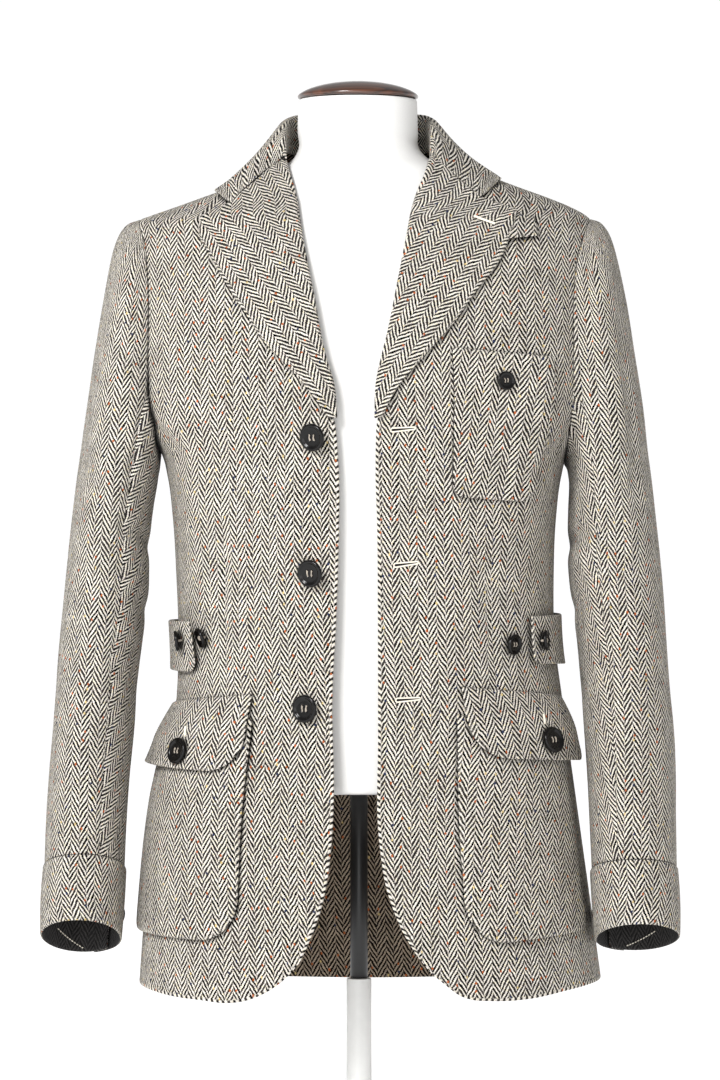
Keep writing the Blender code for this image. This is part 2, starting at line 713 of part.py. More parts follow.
def sleeve_fold(angle, z):
    total = 0.0
    for mid_turn, mid_z, half_turn, half_z, depth in SLEEVE_FOLDS:
        off = (angle - mid_turn + 180) % 360 - 180
        slant = z - mid_z + off * CREASE_SLANT
        total += depth * math.exp(-(off / half_turn) ** 2 - (slant / half_z) ** 2)
    return total


def sleeve_grid(side, angles):
    edge = [armhole_ring(side, a) for a in angles]
    widest = armhole_ring(side, 90)[1]
    grid = [edge]
    for k, values in enumerate(SLEEVE[side], 1):
        height = (values[1] + values[3]) / 2
        row = [oval_ring(values, a, sleeve_fold(a, height)) for a in angles]
        keep = max(1 - k / SLEEVE_HEAD_RINGS, 0)
        for point, rim in zip(row, edge):
            point[1] = mix(point[1], -values[5] * rim[1] / widest, keep)
        grid.append(row)
    return grid


def add_sleeve(name, side, first, last, count, mat):
    """A stretch of the sleeve's tube between two turns, with its inner side along the tube's own normals."""
    angles = [mix(first, last, k / count) for k in range(count + 1)]
    outer = np.array(sleeve_grid(side, angles))
    ahead = np.array(sleeve_grid(side, [a + 1 for a in angles]))
    behind = np.array(sleeve_grid(side, [a - 1 for a in angles]))
    out = np.cross(ahead - behind, np.gradient(outer, axis=0)) * SIDE_SIGN[side]
    out /= np.linalg.norm(out, axis=2, keepdims=True)
    add_wall(name, outer.tolist(), (outer - out * CLOTH).tolist(), mat)


def add_sleeves(mat):
    spare = math.degrees(SEAM / SLEEVE_RADIUS)
    seam = SLEEVE_SEAM_TURN
    for side in SIDE_SIGN:
        add_sleeve("top_sleeve_" + side, side, -seam + spare, seam - spare, TOP_COLUMNS, mat)
        add_sleeve("under_sleeve_" + side, side, seam + spare, 360 - seam - spare, UNDER_COLUMNS, mat)


def cuff_values(side, share):
    """Oval of the cuff from its seam, 0, to its rim, 1."""
    in_x, in_z, out_x, out_z, mid_y, deep, lean = SLEEVE[side][-1]
    rim_in, rim_out, rim_z, rim_y, rim_deep, rim_lean = CUFF_RIM[side]
    z = mix(in_z - 2 * SEAM, rim_z, share)
    return (mix(in_x, rim_in, share), z, mix(out_x, rim_out, share), z, mix(mid_y, rim_y, share),
            mix(deep, rim_deep, share), mix(lean, rim_lean, share))


def cuff_grid(side, lift=0.0):
    sweep = 360 + CUFF_LAP
    climb_from, climb_to = CUFF_LAP_CLIMB
    grid = []
    for r in range(CUFF_ROWS + 1):
        values = cuff_values(side, r / CUFF_ROWS)
        row = []
        for k in range(CUFF_COLUMNS + 1):
            along = sweep * k / CUFF_COLUMNS
            rise = CUFF_LAP_RISE * ease((along - climb_from) / (climb_to - climb_from))
            row.append(oval_ring(values, CUFF_LAP_START + along, CUFF_PROUD + rise + lift))
        grid.append(row)
    return grid


def add_cuffs(mat):
    for side in SIDE_SIGN:
        add_wall("cuff_" + side, cuff_grid(side), cuff_grid(side, -CUFF_THICK), mat)


# ---- pockets, flaps and tabs ------------------------------------------------------------------------------
def corner_inset(height, radius):
    """How far a rounded bottom corner cuts in at this height over the bottom edge."""
    if height >= radius:
        return 0.0
    return radius - math.sqrt(max(radius**2 - (radius - height) ** 2, 0))


def patch_lift(name, lift, share, top_gap):
    """Height of a patch's outer side over the panel, by its place."""
    if name.startswith("flap"):
        return mix(FLAP_SEAM, lift, ease(top_gap / FLAP_HINGE))
    if name.startswith("tab"):
        free = share if name.endswith("right") else 1 - share
        return lift + TAB_LIFT * free**2
    return lift


def patch_grid(name, under=False):
    (turn_a, turn_b, low_a, low_b, top_a, top_b, round_a, round_b, thick, lift, cols, rows) = PATCHES[name]
    bellows = name in ("pocket_right", "pocket_left")
    grid = []
    for r in range(rows + 1):
        share = (r / rows) ** PATCH_SPREAD
        row = []
        for c in range(cols + 1):
            u = c / cols
            low = mix(low_a, low_b, u)
            top = mix(top_a, top_b, u)
            height = (top - low) * share
            radius_z = bare_point(low + height, (turn_a + turn_b) / 2)
            arm = math.hypot(radius_z[0], radius_z[1])
            inset_a = math.degrees(corner_inset(height, round_a) / arm)
            inset_b = math.degrees(corner_inset(height, round_b) / arm)
            turn = mix(turn_a + inset_a, turn_b - inset_b, u)
            rise = patch_lift(name, lift, u, top - low - height)
            if bellows and (r == 0 or c in (0, cols)):
                rise = BELLOWS_EDGE + CLEAR
            if name == "pocket_chest":
                rise += PLEAT_RISE * ease((turn - PLEAT_TURN) / PLEAT_WIDTH + 0.5)
            row.append(on_torso(low + height, turn, rise - (thick if under else 0)))
        grid.append(row)
    return grid


def add_patches(mat):
    for name in PATCHES:
        add_wall(name, patch_grid(name), patch_grid(name, under=True), mat)


def add_throat_tab(mat):
    low_in, low_out, top_out, top_in = [np.array(p, float) for p in THROAT_TAB]
    grids = []
    for lift in (CLEAR + THROAT_THICK, CLEAR):
        grid = []
        for r in (0, 0.5, 1):
            row = []
            for c in (0, 1 / 3, 2 / 3, 1):
                x, z = mix(mix(low_in, low_out, c), mix(top_in, top_out, c), r)
                row.append(on_torso(z, turn_at(x, z), lift))
            grid.append(row)
        grids.append(grid)
    add_wall("throat_tab", grids[0], grids[1], mat)


# ---- buttons ----------------------------------------------------------------------------------------------
def add_button(name, diameter, seat, out, mat):
    """A turned button with a raised rim, on a seat point and facing out."""
    radius = diameter / 2
    thick = diameter * BUTTON_THICK
    side = np.cross((0, 0, 1.0), out)
    side /= np.linalg.norm(side)
    rise = np.cross(out, side)
    profile = [(radius * wide, BUTTON_GAP + thick * high) for wide, high in BUTTON_PROFILE]

    def place(a, b, height):
        return seat + side * a + rise * b + out * height

    add_turned(name, profile, BUTTON_SEGMENTS, place, mat, top=BUTTON_GAP + thick * BUTTON_FACE)


def flat_seat(x, z, diameter, lift):
    """Seat and facing of a button that lies flat on the curved cloth: its highest points carry it."""
    turn = turn_at(x, z)
    out = normal(z, turn)
    centre = on_torso(z, turn, lift)
    reach = diameter / 2 * BUTTON_PROFILE[0][0]
    rise = 0.0
    for angle in range(0, 360, 45):
        dz = reach * math.sin(math.radians(angle))
        dx = reach * math.cos(math.radians(angle))
        spot = on_torso(z + dz, turn_at(x + dx, z + dz), lift)
        rise = max(rise, float(np.dot(spot - centre, out)))
    return centre + out * rise, out


def add_buttons(mat):
    for name, (diameter, x, z, lift) in BUTTONS.items():
        seat, out = flat_seat(x, z, diameter, lift)
        add_button(name, diameter, seat, out, mat)
    for side in SIDE_SIGN:
        values = cuff_values(side, CUFF_BUTTON_AT)
        lift = CUFF_PROUD + CUFF_LAP_RISE
        here = oval_ring(values, CUFF_BUTTON_TURN, lift)
        along = oval_ring(values, CUFF_BUTTON_TURN + 1, lift) - oval_ring(values, CUFF_BUTTON_TURN - 1, lift)
        down = oval_ring(cuff_values(side, 1), CUFF_BUTTON_TURN, lift) - here
        out = np.cross(along, down) * SIDE_SIGN[side]
        out /= np.linalg.norm(out)
        add_button("button_cuff_" + side, SMALL_BUTTON, here + out * CUFF_BUTTON_RISE, out, mat)


# ---- the dress form and its stand -------------------------------------------------------------------------
FORM_INSET_AT = through(*zip(*FORM_INSET))


def form_point(z, turn):
    point = on_torso(z, turn, -FORM_INSET_AT(z), draped=False)
    for side, sign in SIDE_SIGN.items():
        low, high = ARMHOLE_SPAN[side]
        limit = abs(ARMHOLE_X[side](min(max(z, low), high))) - FORM_ARM_PLATE
        if point[0] * sign > limit:
            point[0] = sign * limit
    point[2] = max(point[2], FORM_ROWS[0])
    return point


def add_form(cover, wood, lacquer, steel):
    rings = [[form_point(z, 360 * k / FORM_COLUMNS) for k in range(FORM_COLUMNS)] for z in FORM_ROWS]
    for point in rings[0]:
        point[2] = FORM_ROWS[0]
    for point in rings[-1]:
        point[2] = FORM_ROWS[-1]
    points = [p for ring in rings for p in ring]
    faces = []
    for r in range(len(rings) - 1):
        for k in range(FORM_COLUMNS):
            a = r * FORM_COLUMNS + k
            b = r * FORM_COLUMNS + (k + 1) % FORM_COLUMNS
            faces.append((a, b, b + FORM_COLUMNS, a + FORM_COLUMNS))
    faces.append(tuple(range(FORM_COLUMNS - 1, -1, -1)))
    faces.append(tuple((len(rings) - 1) * FORM_COLUMNS + k for k in range(FORM_COLUMNS)))
    add_solid("form_torso", points, faces, cover, sharp=50)

    def cap_place(a, b, height):
        return np.array((CAP_CENTRE_X + a, b, CAP_BOTTOM + height))

    def floor_place(a, b, height):
        return np.array((a, b, height))

    rod = [(ROD_RADIUS, SOCKET_TOP + STAND_GAP), (ROD_RADIUS, FORM_ROWS[0] - STAND_GAP)]
    add_turned("neck_cap", CAP_PROFILE, CAP_SEGMENTS, cap_place, wood, top=CAP_TOP)
    add_turned("stand_rod", rod, ROD_SEGMENTS, floor_place, steel)
    add_turned("stand_base", BASE_PROFILE, BASE_SEGMENTS, floor_place, lacquer)


def build():
    for old in list(bpy.data.objects):
        bpy.data.objects.remove(old, do_unlink=True)
    tweed = material("tweed", TWEED, 0.9)
    dark = material("tweed_dark", TWEED_DARK, 0.9)
    horn = material("horn", HORN, 0.3)
    add_body(tweed)
    add_lapels(tweed)
    add_collar(tweed)
    add_sleeves(tweed)
    add_cuffs(dark)
    add_patches(tweed)
    add_throat_tab(tweed)
    add_buttons(horn)
    add_form(material("cover", COVER, 0.8), material("wood", WOOD, 0.3), material("lacquer", LACQUER, 0.4),
             material("steel", STEEL, 0.4, 1.0))


build()
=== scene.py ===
# %% [markdown]
# # A tweed safari jacket on a dress form
# This lesson dresses a plain CAD model: a wool jacket that hangs on a white dress form without arms or legs.
# The CAD model gives every piece its place and size. Here each piece of cloth is made again, finer, as a thin
# shell with soft creases, and each surface gets the look of its real material. All sizes below are in
# millimetres and turned to metres when a mesh is made. +Z is up, the jacket looks towards -Y, and +X is the
# wearer's left.

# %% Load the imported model
import math

import bpy
import numpy as np
from mathutils.kdtree import KDTree
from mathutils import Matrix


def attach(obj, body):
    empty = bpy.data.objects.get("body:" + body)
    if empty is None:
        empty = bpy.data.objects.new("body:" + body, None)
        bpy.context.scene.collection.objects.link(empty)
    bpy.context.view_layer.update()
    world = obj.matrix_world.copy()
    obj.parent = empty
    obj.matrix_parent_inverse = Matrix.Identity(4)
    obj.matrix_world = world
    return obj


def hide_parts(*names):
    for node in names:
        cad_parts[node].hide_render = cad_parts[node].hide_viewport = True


MM = 0.001
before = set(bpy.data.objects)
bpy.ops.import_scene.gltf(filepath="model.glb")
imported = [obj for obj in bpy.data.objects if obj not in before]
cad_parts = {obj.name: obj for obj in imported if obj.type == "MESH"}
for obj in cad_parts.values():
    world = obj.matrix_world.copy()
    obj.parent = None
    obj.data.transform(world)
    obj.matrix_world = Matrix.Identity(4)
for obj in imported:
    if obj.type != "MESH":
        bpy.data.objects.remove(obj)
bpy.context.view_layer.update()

# %% [markdown]
# ## Soft curves through short tables
# A tailor's pattern is a handful of measured points joined by smooth lines. The same idea works here: each
# measure of the body is a short table, and a cubic curve runs through it. Working on whole arrays at once
# keeps a panel of twenty thousand points quick.


# %% Curves
RIM_STEPS = (0.7, 2.0, 3.6, 5.2, 7.0)


def mix(a, b, t):
    return a + (b - a) * t


def ease(t):
    t = np.clip(t, 0.0, 1.0)
    return t * t * (3 - 2 * t)


def cubic(a, b, slope_a, slope_b, t):
    """A cubic from a to b, with the slope of each end over the whole step."""
    ends = a * (2 * t**3 - 3 * t**2 + 1) + b * (3 * t**2 - 2 * t**3)
    return ends + slope_a * (t**3 - 2 * t**2 + t) + slope_b * (t**3 - t**2)


def curve(table, column=1):
    """A smooth function through a short table, for one number or an array."""
    keys, values = (np.array([row[k] for row in table], float) for k in (0, column))
    if keys[0] > keys[-1]:
        keys, values = keys[::-1], values[::-1]
    slopes = np.gradient(values, keys)

    def at(key):
        key = np.clip(key, keys[0], keys[-1])
        i = np.clip(np.searchsorted(keys, key) - 1, 0, len(keys) - 2)
        span = keys[i + 1] - keys[i]
        return cubic(values[i], values[i + 1], span * slopes[i], span * slopes[i + 1], (key - keys[i]) / span)

    return at


def finer(keys, step):
    """The same knots with even points between them, at most a step apart."""
    out = [float(keys[0])]
    for a, b in zip(keys, keys[1:]):
        n = max(math.ceil(abs(b - a) / step), 1)
        out += [mix(a, b, (k + 1) / n) for k in range(n)]
    return np.array(out)


def edged(count, length, fine=RIM_STEPS):
    """Shares from 0 to 1 for a row of points that lie closer together beside both finished edges."""
    rim = np.array(fine) / length
    middle = np.linspace(rim[-1], 1 - rim[-1], count)
    return np.concatenate([[0], rim[:-1], middle, 1 - rim[:-1][::-1], [1]])


print("at 5 mm steps a 40 mm row has", len(finer([0, 40], 5)), "points")

# %% [markdown]
# ## The body under the cloth
# A jacket's panels all follow one body. Its cross-section at each height is a superellipse: an oval with
# squarer corners, given by how far it reaches right, left, forward and back. The soft folds of hanging cloth
# are added to its radius, so that whatever lies on a panel, such as a pocket, follows the same folds.

# %% The body's tables
CLOTH = 2.0
#         height  right   left  front  back  squareness
TORSO = [
    (105, -204, 227, 141, 134, 2.30),
    (200, -197, 214, 138, 130, 2.30),
    (300, -186, 200, 131, 122, 2.30),
    (394, -168, 187, 123, 108, 2.30),
    (450, -166, 180, 117, 98, 2.30),
    (510, -168, 179, 115, 93, 2.30),
    (560, -171, 181, 118, 97, 2.30),
    (600, -176, 186, 122, 104, 2.30),
    (619, -181, 191, 123, 107, 2.30),
    (640, -196, 204, 124, 110, 2.30),
    (670, -207, 214, 125, 113, 2.30),
    (720, -212, 218, 121, 116, 2.30),
    (780, -213, 219, 108, 114, 2.20),
    (815, -212, 218, 95, 106, 2.05),
    (833, -207, 215, 86, 99, 1.90),
    (840, -189, 208, 82, 96, 1.80),
    (847, -169, 195, 78, 92, 1.75),
    (856, -144, 173, 73, 87, 1.75),
    (865, -119, 148, 68, 81, 1.80),
    (875, -95, 121, 63, 76, 1.85),
    (885, -77, 92, 59, 71, 1.95),
    (893, -66, 71, 57, 67, 2.00),
    (902, -60, 60, 55, 63, 2.00),
    (915, -57, 55, 54, 58, 2.00),
    (946, -56, 54, 54, 56, 2.00),
]
SIDE_SEAM = [(105, 97), (600, 90), (902, 90)]
# soft folds: turn from the centre front and height of the middle, half width and half height, depth
DRAPE = [
    (62, 640, 9, 120, 5.0),
    (-66, 600, 8, 110, 4.0),
    (38, 470, 10, 90, 2.5),
    (-30, 520, 9, 110, 2.5),
    (152, 300, 12, 170, 5.0),
    (-155, 320, 12, 160, 5.0),
    (180, 560, 10, 120, -4.0),
    (118, 690, 9, 90, 4.0),
    (-118, 690, 9, 90, 4.0),
]
# smaller creases, each along a line: turn and height of both ends, width, depth
CREASES = [
    (-80, 668, -66, 606, 9, -3.0),
    (-54.5, 575, -53.5, 420, 5, -0.9),
    (48.4, 545, 48.6, 415, 5, -0.9),
    (-70, 585, -48, 560, 8, 1.2),
    (-62, 520, -40, 505, 11, -1.3),
    (-74, 480, -52, 470, 8, 1.1),
    (74, 640, 60, 590, 9, -2.8),
    (66, 570, 44, 552, 9, 1.3),
    (72, 515, 46, 500, 10, -1.4),
    (64, 470, 50, 455, 8, 1.0),
    (24, 640, 36, 560, 12, 1.0),
    (-24, 620, -34, 540, 12, 0.9),
    (-20, 400, -27, 250, 14, 1.0),
    (22, 390, 30, 240, 15, -1.1),
    (-40, 850, -62, 800, 14, -1.2),
    (46, 852, 66, 800, 14, -1.2),
    (104, 610, 118, 545, 10, -1.8),
    (-104, 600, -120, 540, 10, -1.8),
    (112, 500, 140, 470, 12, 1.6),
    (-112, 495, -142, 470, 12, 1.6),
    (168, 470, 192, 462, 14, -1.8),
    (160, 430, 200, 420, 12, 1.4),
    (150, 790, 130, 700, 18, -1.8),
    (-150, 790, -132, 705, 18, -1.8),
    (176, 330, 172, 160, 16, 2.2),
    (-140, 250, -134, 140, 14, -2.0),
    (138, 260, 132, 140, 14, -2.0),
    (100, 330, 104, 180, 12, 1.6),
    (-100, 340, -104, 180, 12, 1.6),
]
TORSO_AT = [curve(TORSO, k) for k in range(1, 6)]
SEAM_TURN = curve(SIDE_SEAM)
BODY_RADIUS = 190.0
SIGN = {"right": -1, "left": 1}


# %% The body's surface
def section(z):
    """The oval at a height: its middle, half width, reach forward and back, and squareness."""
    right, left, front, back, power = [at(z) for at in TORSO_AT]
    return (right + left) / 2, (left - right) / 2, front, back, power


def bumps(turn, z, table, slant=0.0):
    """Height of soft folds, each an oval swelling round a turn and a height."""
    total = 0.0
    for mid_turn, mid_z, half_turn, half_z, depth in table:
        off = (turn - mid_turn + 180) % 360 - 180
        tall = z - mid_z + off * slant
        total = total + depth * np.exp(-((off / half_turn) ** 2) - (tall / half_z) ** 2)
    return total


def line_folds(across, up, lines):
    """Height of ridges and troughs along straight lines, which sway a little and fade out at their ends."""
    total = 0.0
    for x0, y0, x1, y1, width, depth in lines:
        length = math.hypot(x1 - x0, y1 - y0)
        ax, ay = (x1 - x0) / length, (y1 - y0) / length
        along = ((across - x0) * ax + (up - y0) * ay) / length
        aside = (across - x0) * ay - (up - y0) * ax + width * LINE_SWAY * np.sin(along * 5.0 + x0)
        fade = np.exp(-((LINE_FADE * (along - 0.5)) ** 4))
        total = total + depth * fade * np.exp(-((aside / width) ** 2))
    return total


def lines_round(table, radius):
    """The same creases in millimetres round a tube, with copies one turn on and one turn back."""
    return [(math.radians(a + whole) * radius, b, math.radians(c + whole) * radius, d, width, depth)
            for a, b, c, d, width, depth in table for whole in (0, 360, -360)]


LINE_SWAY, LINE_FADE = 0.5, 2.2
CREASE_LINES = lines_round(CREASES, BODY_RADIUS)


def body_point(z, turn, folded=True):
    centre, half, front, back, power = section(z)
    s, c = np.sin(np.radians(turn)), np.cos(np.radians(turn))
    depth = np.where(c > 0, front, back)
    radius = ((np.abs(s) / half) ** power + (np.abs(c) / depth) ** power) ** (-1 / power)
    if folded:
        radius = radius + bumps(turn, z, DRAPE) + line_folds(np.radians(turn) * BODY_RADIUS, z, CREASE_LINES)
    return np.stack([centre + radius * s, -radius * c, z + 0 * s], -1)


def outward(z, turn, folded=True):
    """The way the body's surface faces."""
    step = 0.4
    up = body_point(z + step, turn, folded) - body_point(z - step, turn, folded)
    along = body_point(z, turn + step, folded) - body_point(z, turn - step, folded)
    out = np.cross(along, up)
    return out / np.linalg.norm(out, axis=-1, keepdims=True)


def on_body(z, turn, lift=0.0, folded=True):
    z, turn = np.broadcast_arrays(np.asarray(z, float), np.asarray(turn, float))
    return body_point(z, turn, folded) + outward(z, turn, folded) * np.asarray(lift)[..., None]


def turn_at(x, z, back=False):
    """The turn at which the body's front or back has this x."""
    centre, half, front, rear, power = section(z)
    share = np.minimum(np.abs(x - centre) / half, 1.0)
    depth = (1 - share**power) ** (1 / power) * np.where(back, rear, front)
    return np.degrees(np.arctan2(x - centre, np.where(back, -depth, depth)))


print("chest:", [round(float(v)) for v in section(700)[:4]], "mm")

# %% [markdown]
# ## Unrolling the body
# Cloth is woven flat, so its pattern has to be laid out flat too. For any point of the body this gives the
# distance along the cloth from the centre front, and the distance up the cloth. The herringbone then keeps
# its real size and hangs straight down, as on a jacket that is cut on the straight grain.

# %% Distances along the cloth
FLAT_STEP = 4.0
FLAT_Z = np.arange(100.0, 961.0, FLAT_STEP)
FLAT_TURN = np.arange(-180.0, 181.0, 1.0)
UP_TURN = 30.0
net = body_point(FLAT_Z[:, None], FLAT_TURN[None, :], folded=False)
around = np.pad(np.cumsum(np.linalg.norm(np.diff(net, axis=1), axis=2), axis=1), ((0, 0), (1, 0)))
FLAT_U = around - around[:, 180:181]
GIRTH = curve(list(zip(FLAT_Z, around[:, -1])))
climbs = np.linalg.norm(np.diff(body_point(FLAT_Z, UP_TURN, folded=False), axis=0), axis=1)
UP_AT = curve(list(zip(FLAT_Z, np.pad(np.cumsum(climbs), (1, 0)))))


def between(table, i, j):
    """A table's value at fractional places, drawn straight between its four neighbours."""
    i, j = np.clip(i, 0, table.shape[0] - 1.001), np.clip(j, 0, table.shape[1] - 1.001)
    i0, j0 = i.astype(int), j.astype(int)
    low = mix(table[i0, j0], table[i0, j0 + 1], j - j0)
    high = mix(table[i0 + 1, j0], table[i0 + 1, j0 + 1], j - j0)
    return mix(low, high, i - i0)


def unrolled(z, turn):
    """Distance round from the centre front and distance up, for each point of the body."""
    z, turn = np.broadcast_arrays(np.asarray(z, float), np.asarray(turn, float))
    rounds = np.floor((turn + 180) / 360)
    flat = between(FLAT_U, (z - FLAT_Z[0]) / FLAT_STEP, turn - 360 * rounds + 180)
    return np.stack([flat + rounds * GIRTH(z), UP_AT(z)], -1)


print("girth at the waist:", round(float(GIRTH(500))), "mm, at the chest:", round(float(GIRTH(700))), "mm")

# %% [markdown]
# ## A piece of cloth as a thin shell
# Real tweed is about two millimetres thick, so each piece is a closed shell: an outer and an inner grid of
# points with a rounded rim between them. Solidify could do the same, but here the two grids are worked out
# directly, which keeps the pattern's coordinates on both sides. Two UV maps go with every piece. "weave" holds
# millimetres along and up the cloth, and "edge" holds the distance to the nearest finished edge and the
# distance along it, for stitching.

# %% The shell builder
ROUND = ((0, 0.42), (1, 0.10))
NO_EDGE = 400.0
CLOTH_CORNER, TURNED_CORNER = 52, 45
ALL_EDGES = ("low", "high", "start", "end")
pieces = {}


def rounded(outer, inner, sides):
    """Both grids drawn together at the rims named in sides."""
    pull = np.zeros(outer.shape[:2])
    rims = {"low": pull, "high": pull[::-1], "start": pull.T, "end": pull.T[::-1]}
    for side in sides:
        for k, share in ROUND:
            rims[side][k] = np.maximum(rims[side][k], share)
    pull = pull[..., None]
    return mix(outer, inner, pull), mix(inner, outer, pull)


def shell_faces(rows, cols):
    """Quads of the outer grid, the inner grid and the rim, as three arrays."""
    ids, below = np.arange(rows * cols).reshape(rows, cols), rows * cols
    a, b, c, d = ids[:-1, :-1], ids[:-1, 1:], ids[1:, 1:], ids[1:, :-1]
    ring = np.concatenate([ids[0], ids[1:, -1], ids[-1, -2::-1], ids[-2:0:-1, 0]])
    after = np.roll(ring, -1)
    return (np.stack([a, b, c, d], -1).reshape(-1, 4), np.stack([a, d, c, b], -1).reshape(-1, 4) + below,
            np.stack([ring, ring + below, after + below, after], -1))


def make_mesh(name, points, quads, ends=(), corner=CLOTH_CORNER, maps=(), groups=None):
    """A mesh object in metres, turned outwards, with UV values for each point and a material for each face."""
    a, b, c, d = [points[quads[:, k]] for k in range(4)]
    if (a * (np.cross(b, c) + np.cross(c, d))).sum() < 0:
        quads, ends = quads[:, ::-1], [end[::-1] for end in ends]
    mesh = bpy.data.meshes.new(name)
    mesh.from_pydata((points * MM).tolist(), [], quads.tolist() + [end.tolist() for end in ends])
    for map_name, values in maps:
        layer = mesh.uv_layers.new(name=map_name)
        layer.data.foreach_set("uv", values[quads.ravel()].astype(np.float32).ravel())
    if groups is not None:
        mesh.polygons.foreach_set("material_index", groups.astype(np.int32))
    mesh.shade_smooth()
    mesh.set_sharp_from_angle(angle=math.radians(corner))
    mesh.validate()
    obj = bpy.data.objects.new(name, mesh)
    bpy.context.scene.collection.objects.link(obj)
    return obj


def cloth(name, outer, inner, weave, edge, soft=ALL_EDGES):
    """A shell of cloth between two grids."""
    outer, inner = rounded(outer, inner, soft)
    sides = shell_faces(*outer.shape[:2])
    weave, edge = weave.reshape(-1, 2), edge.reshape(-1, 2)
    far = np.stack([np.full(len(edge), NO_EDGE), edge[:, 1]], -1)
    maps = (("weave", np.concatenate([weave, weave])), ("edge", np.concatenate([edge, far])))
    groups = np.repeat([0, 1, 0], [len(side) for side in sides])
    points = np.concatenate([outer.reshape(-1, 3), inner.reshape(-1, 3)])
    pieces[name] = make_mesh(name, points, np.concatenate(sides), maps=maps, groups=groups)


def run_along(grid, axis):
    """Distance from the first point along each row (axis 1) or column (axis 0) of a grid."""
    steps = np.linalg.norm(np.diff(grid, axis=axis), axis=2)
    return np.pad(np.cumsum(steps, axis=axis), [(int(axis == k), 0) for k in (0, 1)])


def resampled(grid, at, axis=0):
    """Smooth curves through a grid's rows (or columns), read at new places counted in old rows."""
    grid = np.moveaxis(grid, axis, 0)
    slopes = np.gradient(grid, axis=0)
    i = np.clip(at.astype(int), 0, len(grid) - 2)
    t = (at - i).reshape(-1, *[1] * (grid.ndim - 1))
    return np.moveaxis(cubic(grid[i], grid[i + 1], slopes[i], slopes[i + 1], t), 0, axis)


def even_places(grid, step, fine=RIM_STEPS[:3]):
    """Places down a grid, in its own rows, at most a step apart, with finer ones beside both ends."""
    spans = np.linalg.norm(np.diff(grid, axis=0), axis=2).max(axis=1)
    places = [0.0]
    for k, span in enumerate(spans):
        n = max(math.ceil(span / step), 1)
        places += [k + (j + 1) / n for j in range(n)]
    first, last = np.array(fine) / spans[0], np.array(fine) / spans[-1]
    places = [p for p in places if first[-1] * 1.2 < p < len(spans) - last[-1] * 1.2]
    return np.array([0, *first, *places, *(len(spans) - last[::-1]), len(spans)])


def grid_normals(grid):
    out = np.cross(np.gradient(grid, axis=1), np.gradient(grid, axis=0))
    return out / np.maximum(np.linalg.norm(out, axis=2, keepdims=True), 1e-9)


def edge_map(grid, sides):
    """For each point, the distance to the nearest finished edge and the distance along that edge."""
    rims = {"low": grid[0], "high": grid[-1], "start": grid[:, 0], "end": grid[:, -1]}
    spots, marks = [], [0.0]
    for side in sides:
        rim = resampled(rims[side], np.arange(0, len(rims[side]) - 1 + 0.01, 0.25))
        spots += list(rim)
        run = np.cumsum(np.linalg.norm(np.diff(rim, axis=0), axis=1))
        marks += [marks[-1] + r for r in (0, *run)]
    tree = KDTree(len(spots))
    for k, spot in enumerate(spots):
        tree.insert(spot, k)
    tree.balance()
    found = [tree.find(p) for p in grid.reshape(-1, 3)]
    return np.array([(gap, marks[k + 1]) for _, k, gap in found]).reshape(*grid.shape[:2], 2)


def turned(weave, degrees, wide=1.0, tall=1.0):
    """The weave's coordinates turned on the piece, and stretched."""
    flat = weave.reshape(-1, 2)
    middle = flat.mean(0)
    c, s = math.cos(math.radians(degrees)), math.sin(math.radians(degrees))
    x, y = (flat - middle).T
    return (np.stack([(x * c + y * s) / wide, (y * c - x * s) / tall], -1) + middle).reshape(weave.shape)


print("the rim of a 4 by 5 grid has", len(shell_faces(4, 5)[2]), "faces")

# %% [markdown]
# ## The fronts and the back
# The body of the jacket is three panels: two fronts, cut away in a curve at the bottom, and one back. On the
# real jacket the fronts have a folded edge with a facing behind it, so that edge is thicker and rounder than a
# cut edge. The panels stop a fifth of a millimetre short of each seam, which draws the seam as a fine line.

# %% The panels' tables
SEAM = 0.2
PANEL_ROWS = (135, 172, 212, 252, 294, 335, 375, 412, 450, 488, 526, 562, 588, 604,
              616, 624, 636, 656, 688, 724, 760, 790, 811, 824, 830.5, 834.8, 836.3, 842, 850, 859, 868,
              877, 885)
HEM_FADE = 170
BACK_HEM = 126
LAPEL_TUCK, LAPEL_TUCK_FROM = 3.4, 640
NECK_START = 846
NECK_RISE = 13
ARMHOLE = {
    "right": [(606, -178), (640, -186), (690, -189.4), (782, -191.7), (812, -195), (829, -200), (838, -201)],
    "left": [(606, 188), (640, 190), (690, 192), (762, 194), (790, 197), (814, 203), (829, 208.5),
             (838, 213)],
}
FRONT_EDGE = {
    "right": [(165, -52.5), (187, -42.7), (210, -34.5), (231, -29.4), (265, -24.9), (309, -22.5),
              (397, -23.8), (478, -20), (545, -18), (602, -18), (647, -21.4), (684, -26.4), (702, -32),
              (763, -44.2), (805, -52.6), (837, -58), (864, -63.2), (889, -66)],
    "left": [(171, 51.6), (190, 40), (212, 30.5), (233, 23.8), (256, 19.9), (283, 17), (362, 17), (478, 16.9),
             (553, 16.3), (602, 14.8), (647, 15.8), (684, 18.9), (730, 29.5), (774, 38.2), (818, 46.8),
             (846, 52.4), (862, 57.6), (887, 64)],
}
HEM = {
    "right": [(-203, 135), (-170, 130), (-144, 128.4), (-116.6, 127), (-97, 131), (-77.5, 141), (-66, 150),
              (-52.5, 165)],
    "left": [(226, 140), (190, 135.5), (153, 130), (117, 129.5), (99, 131.5), (90, 135), (76.6, 145),
             (63, 157), (51.6, 171)],
}
ARMHOLE_X, EDGE_X, HEM_Z = ({side: curve(table[side]) for side in SIGN} for table in (ARMHOLE, FRONT_EDGE, HEM))


# %% Where a panel starts and ends
def outermost(z, side):
    centre, half = section(z)[:2]
    return centre + SIGN[side] * half


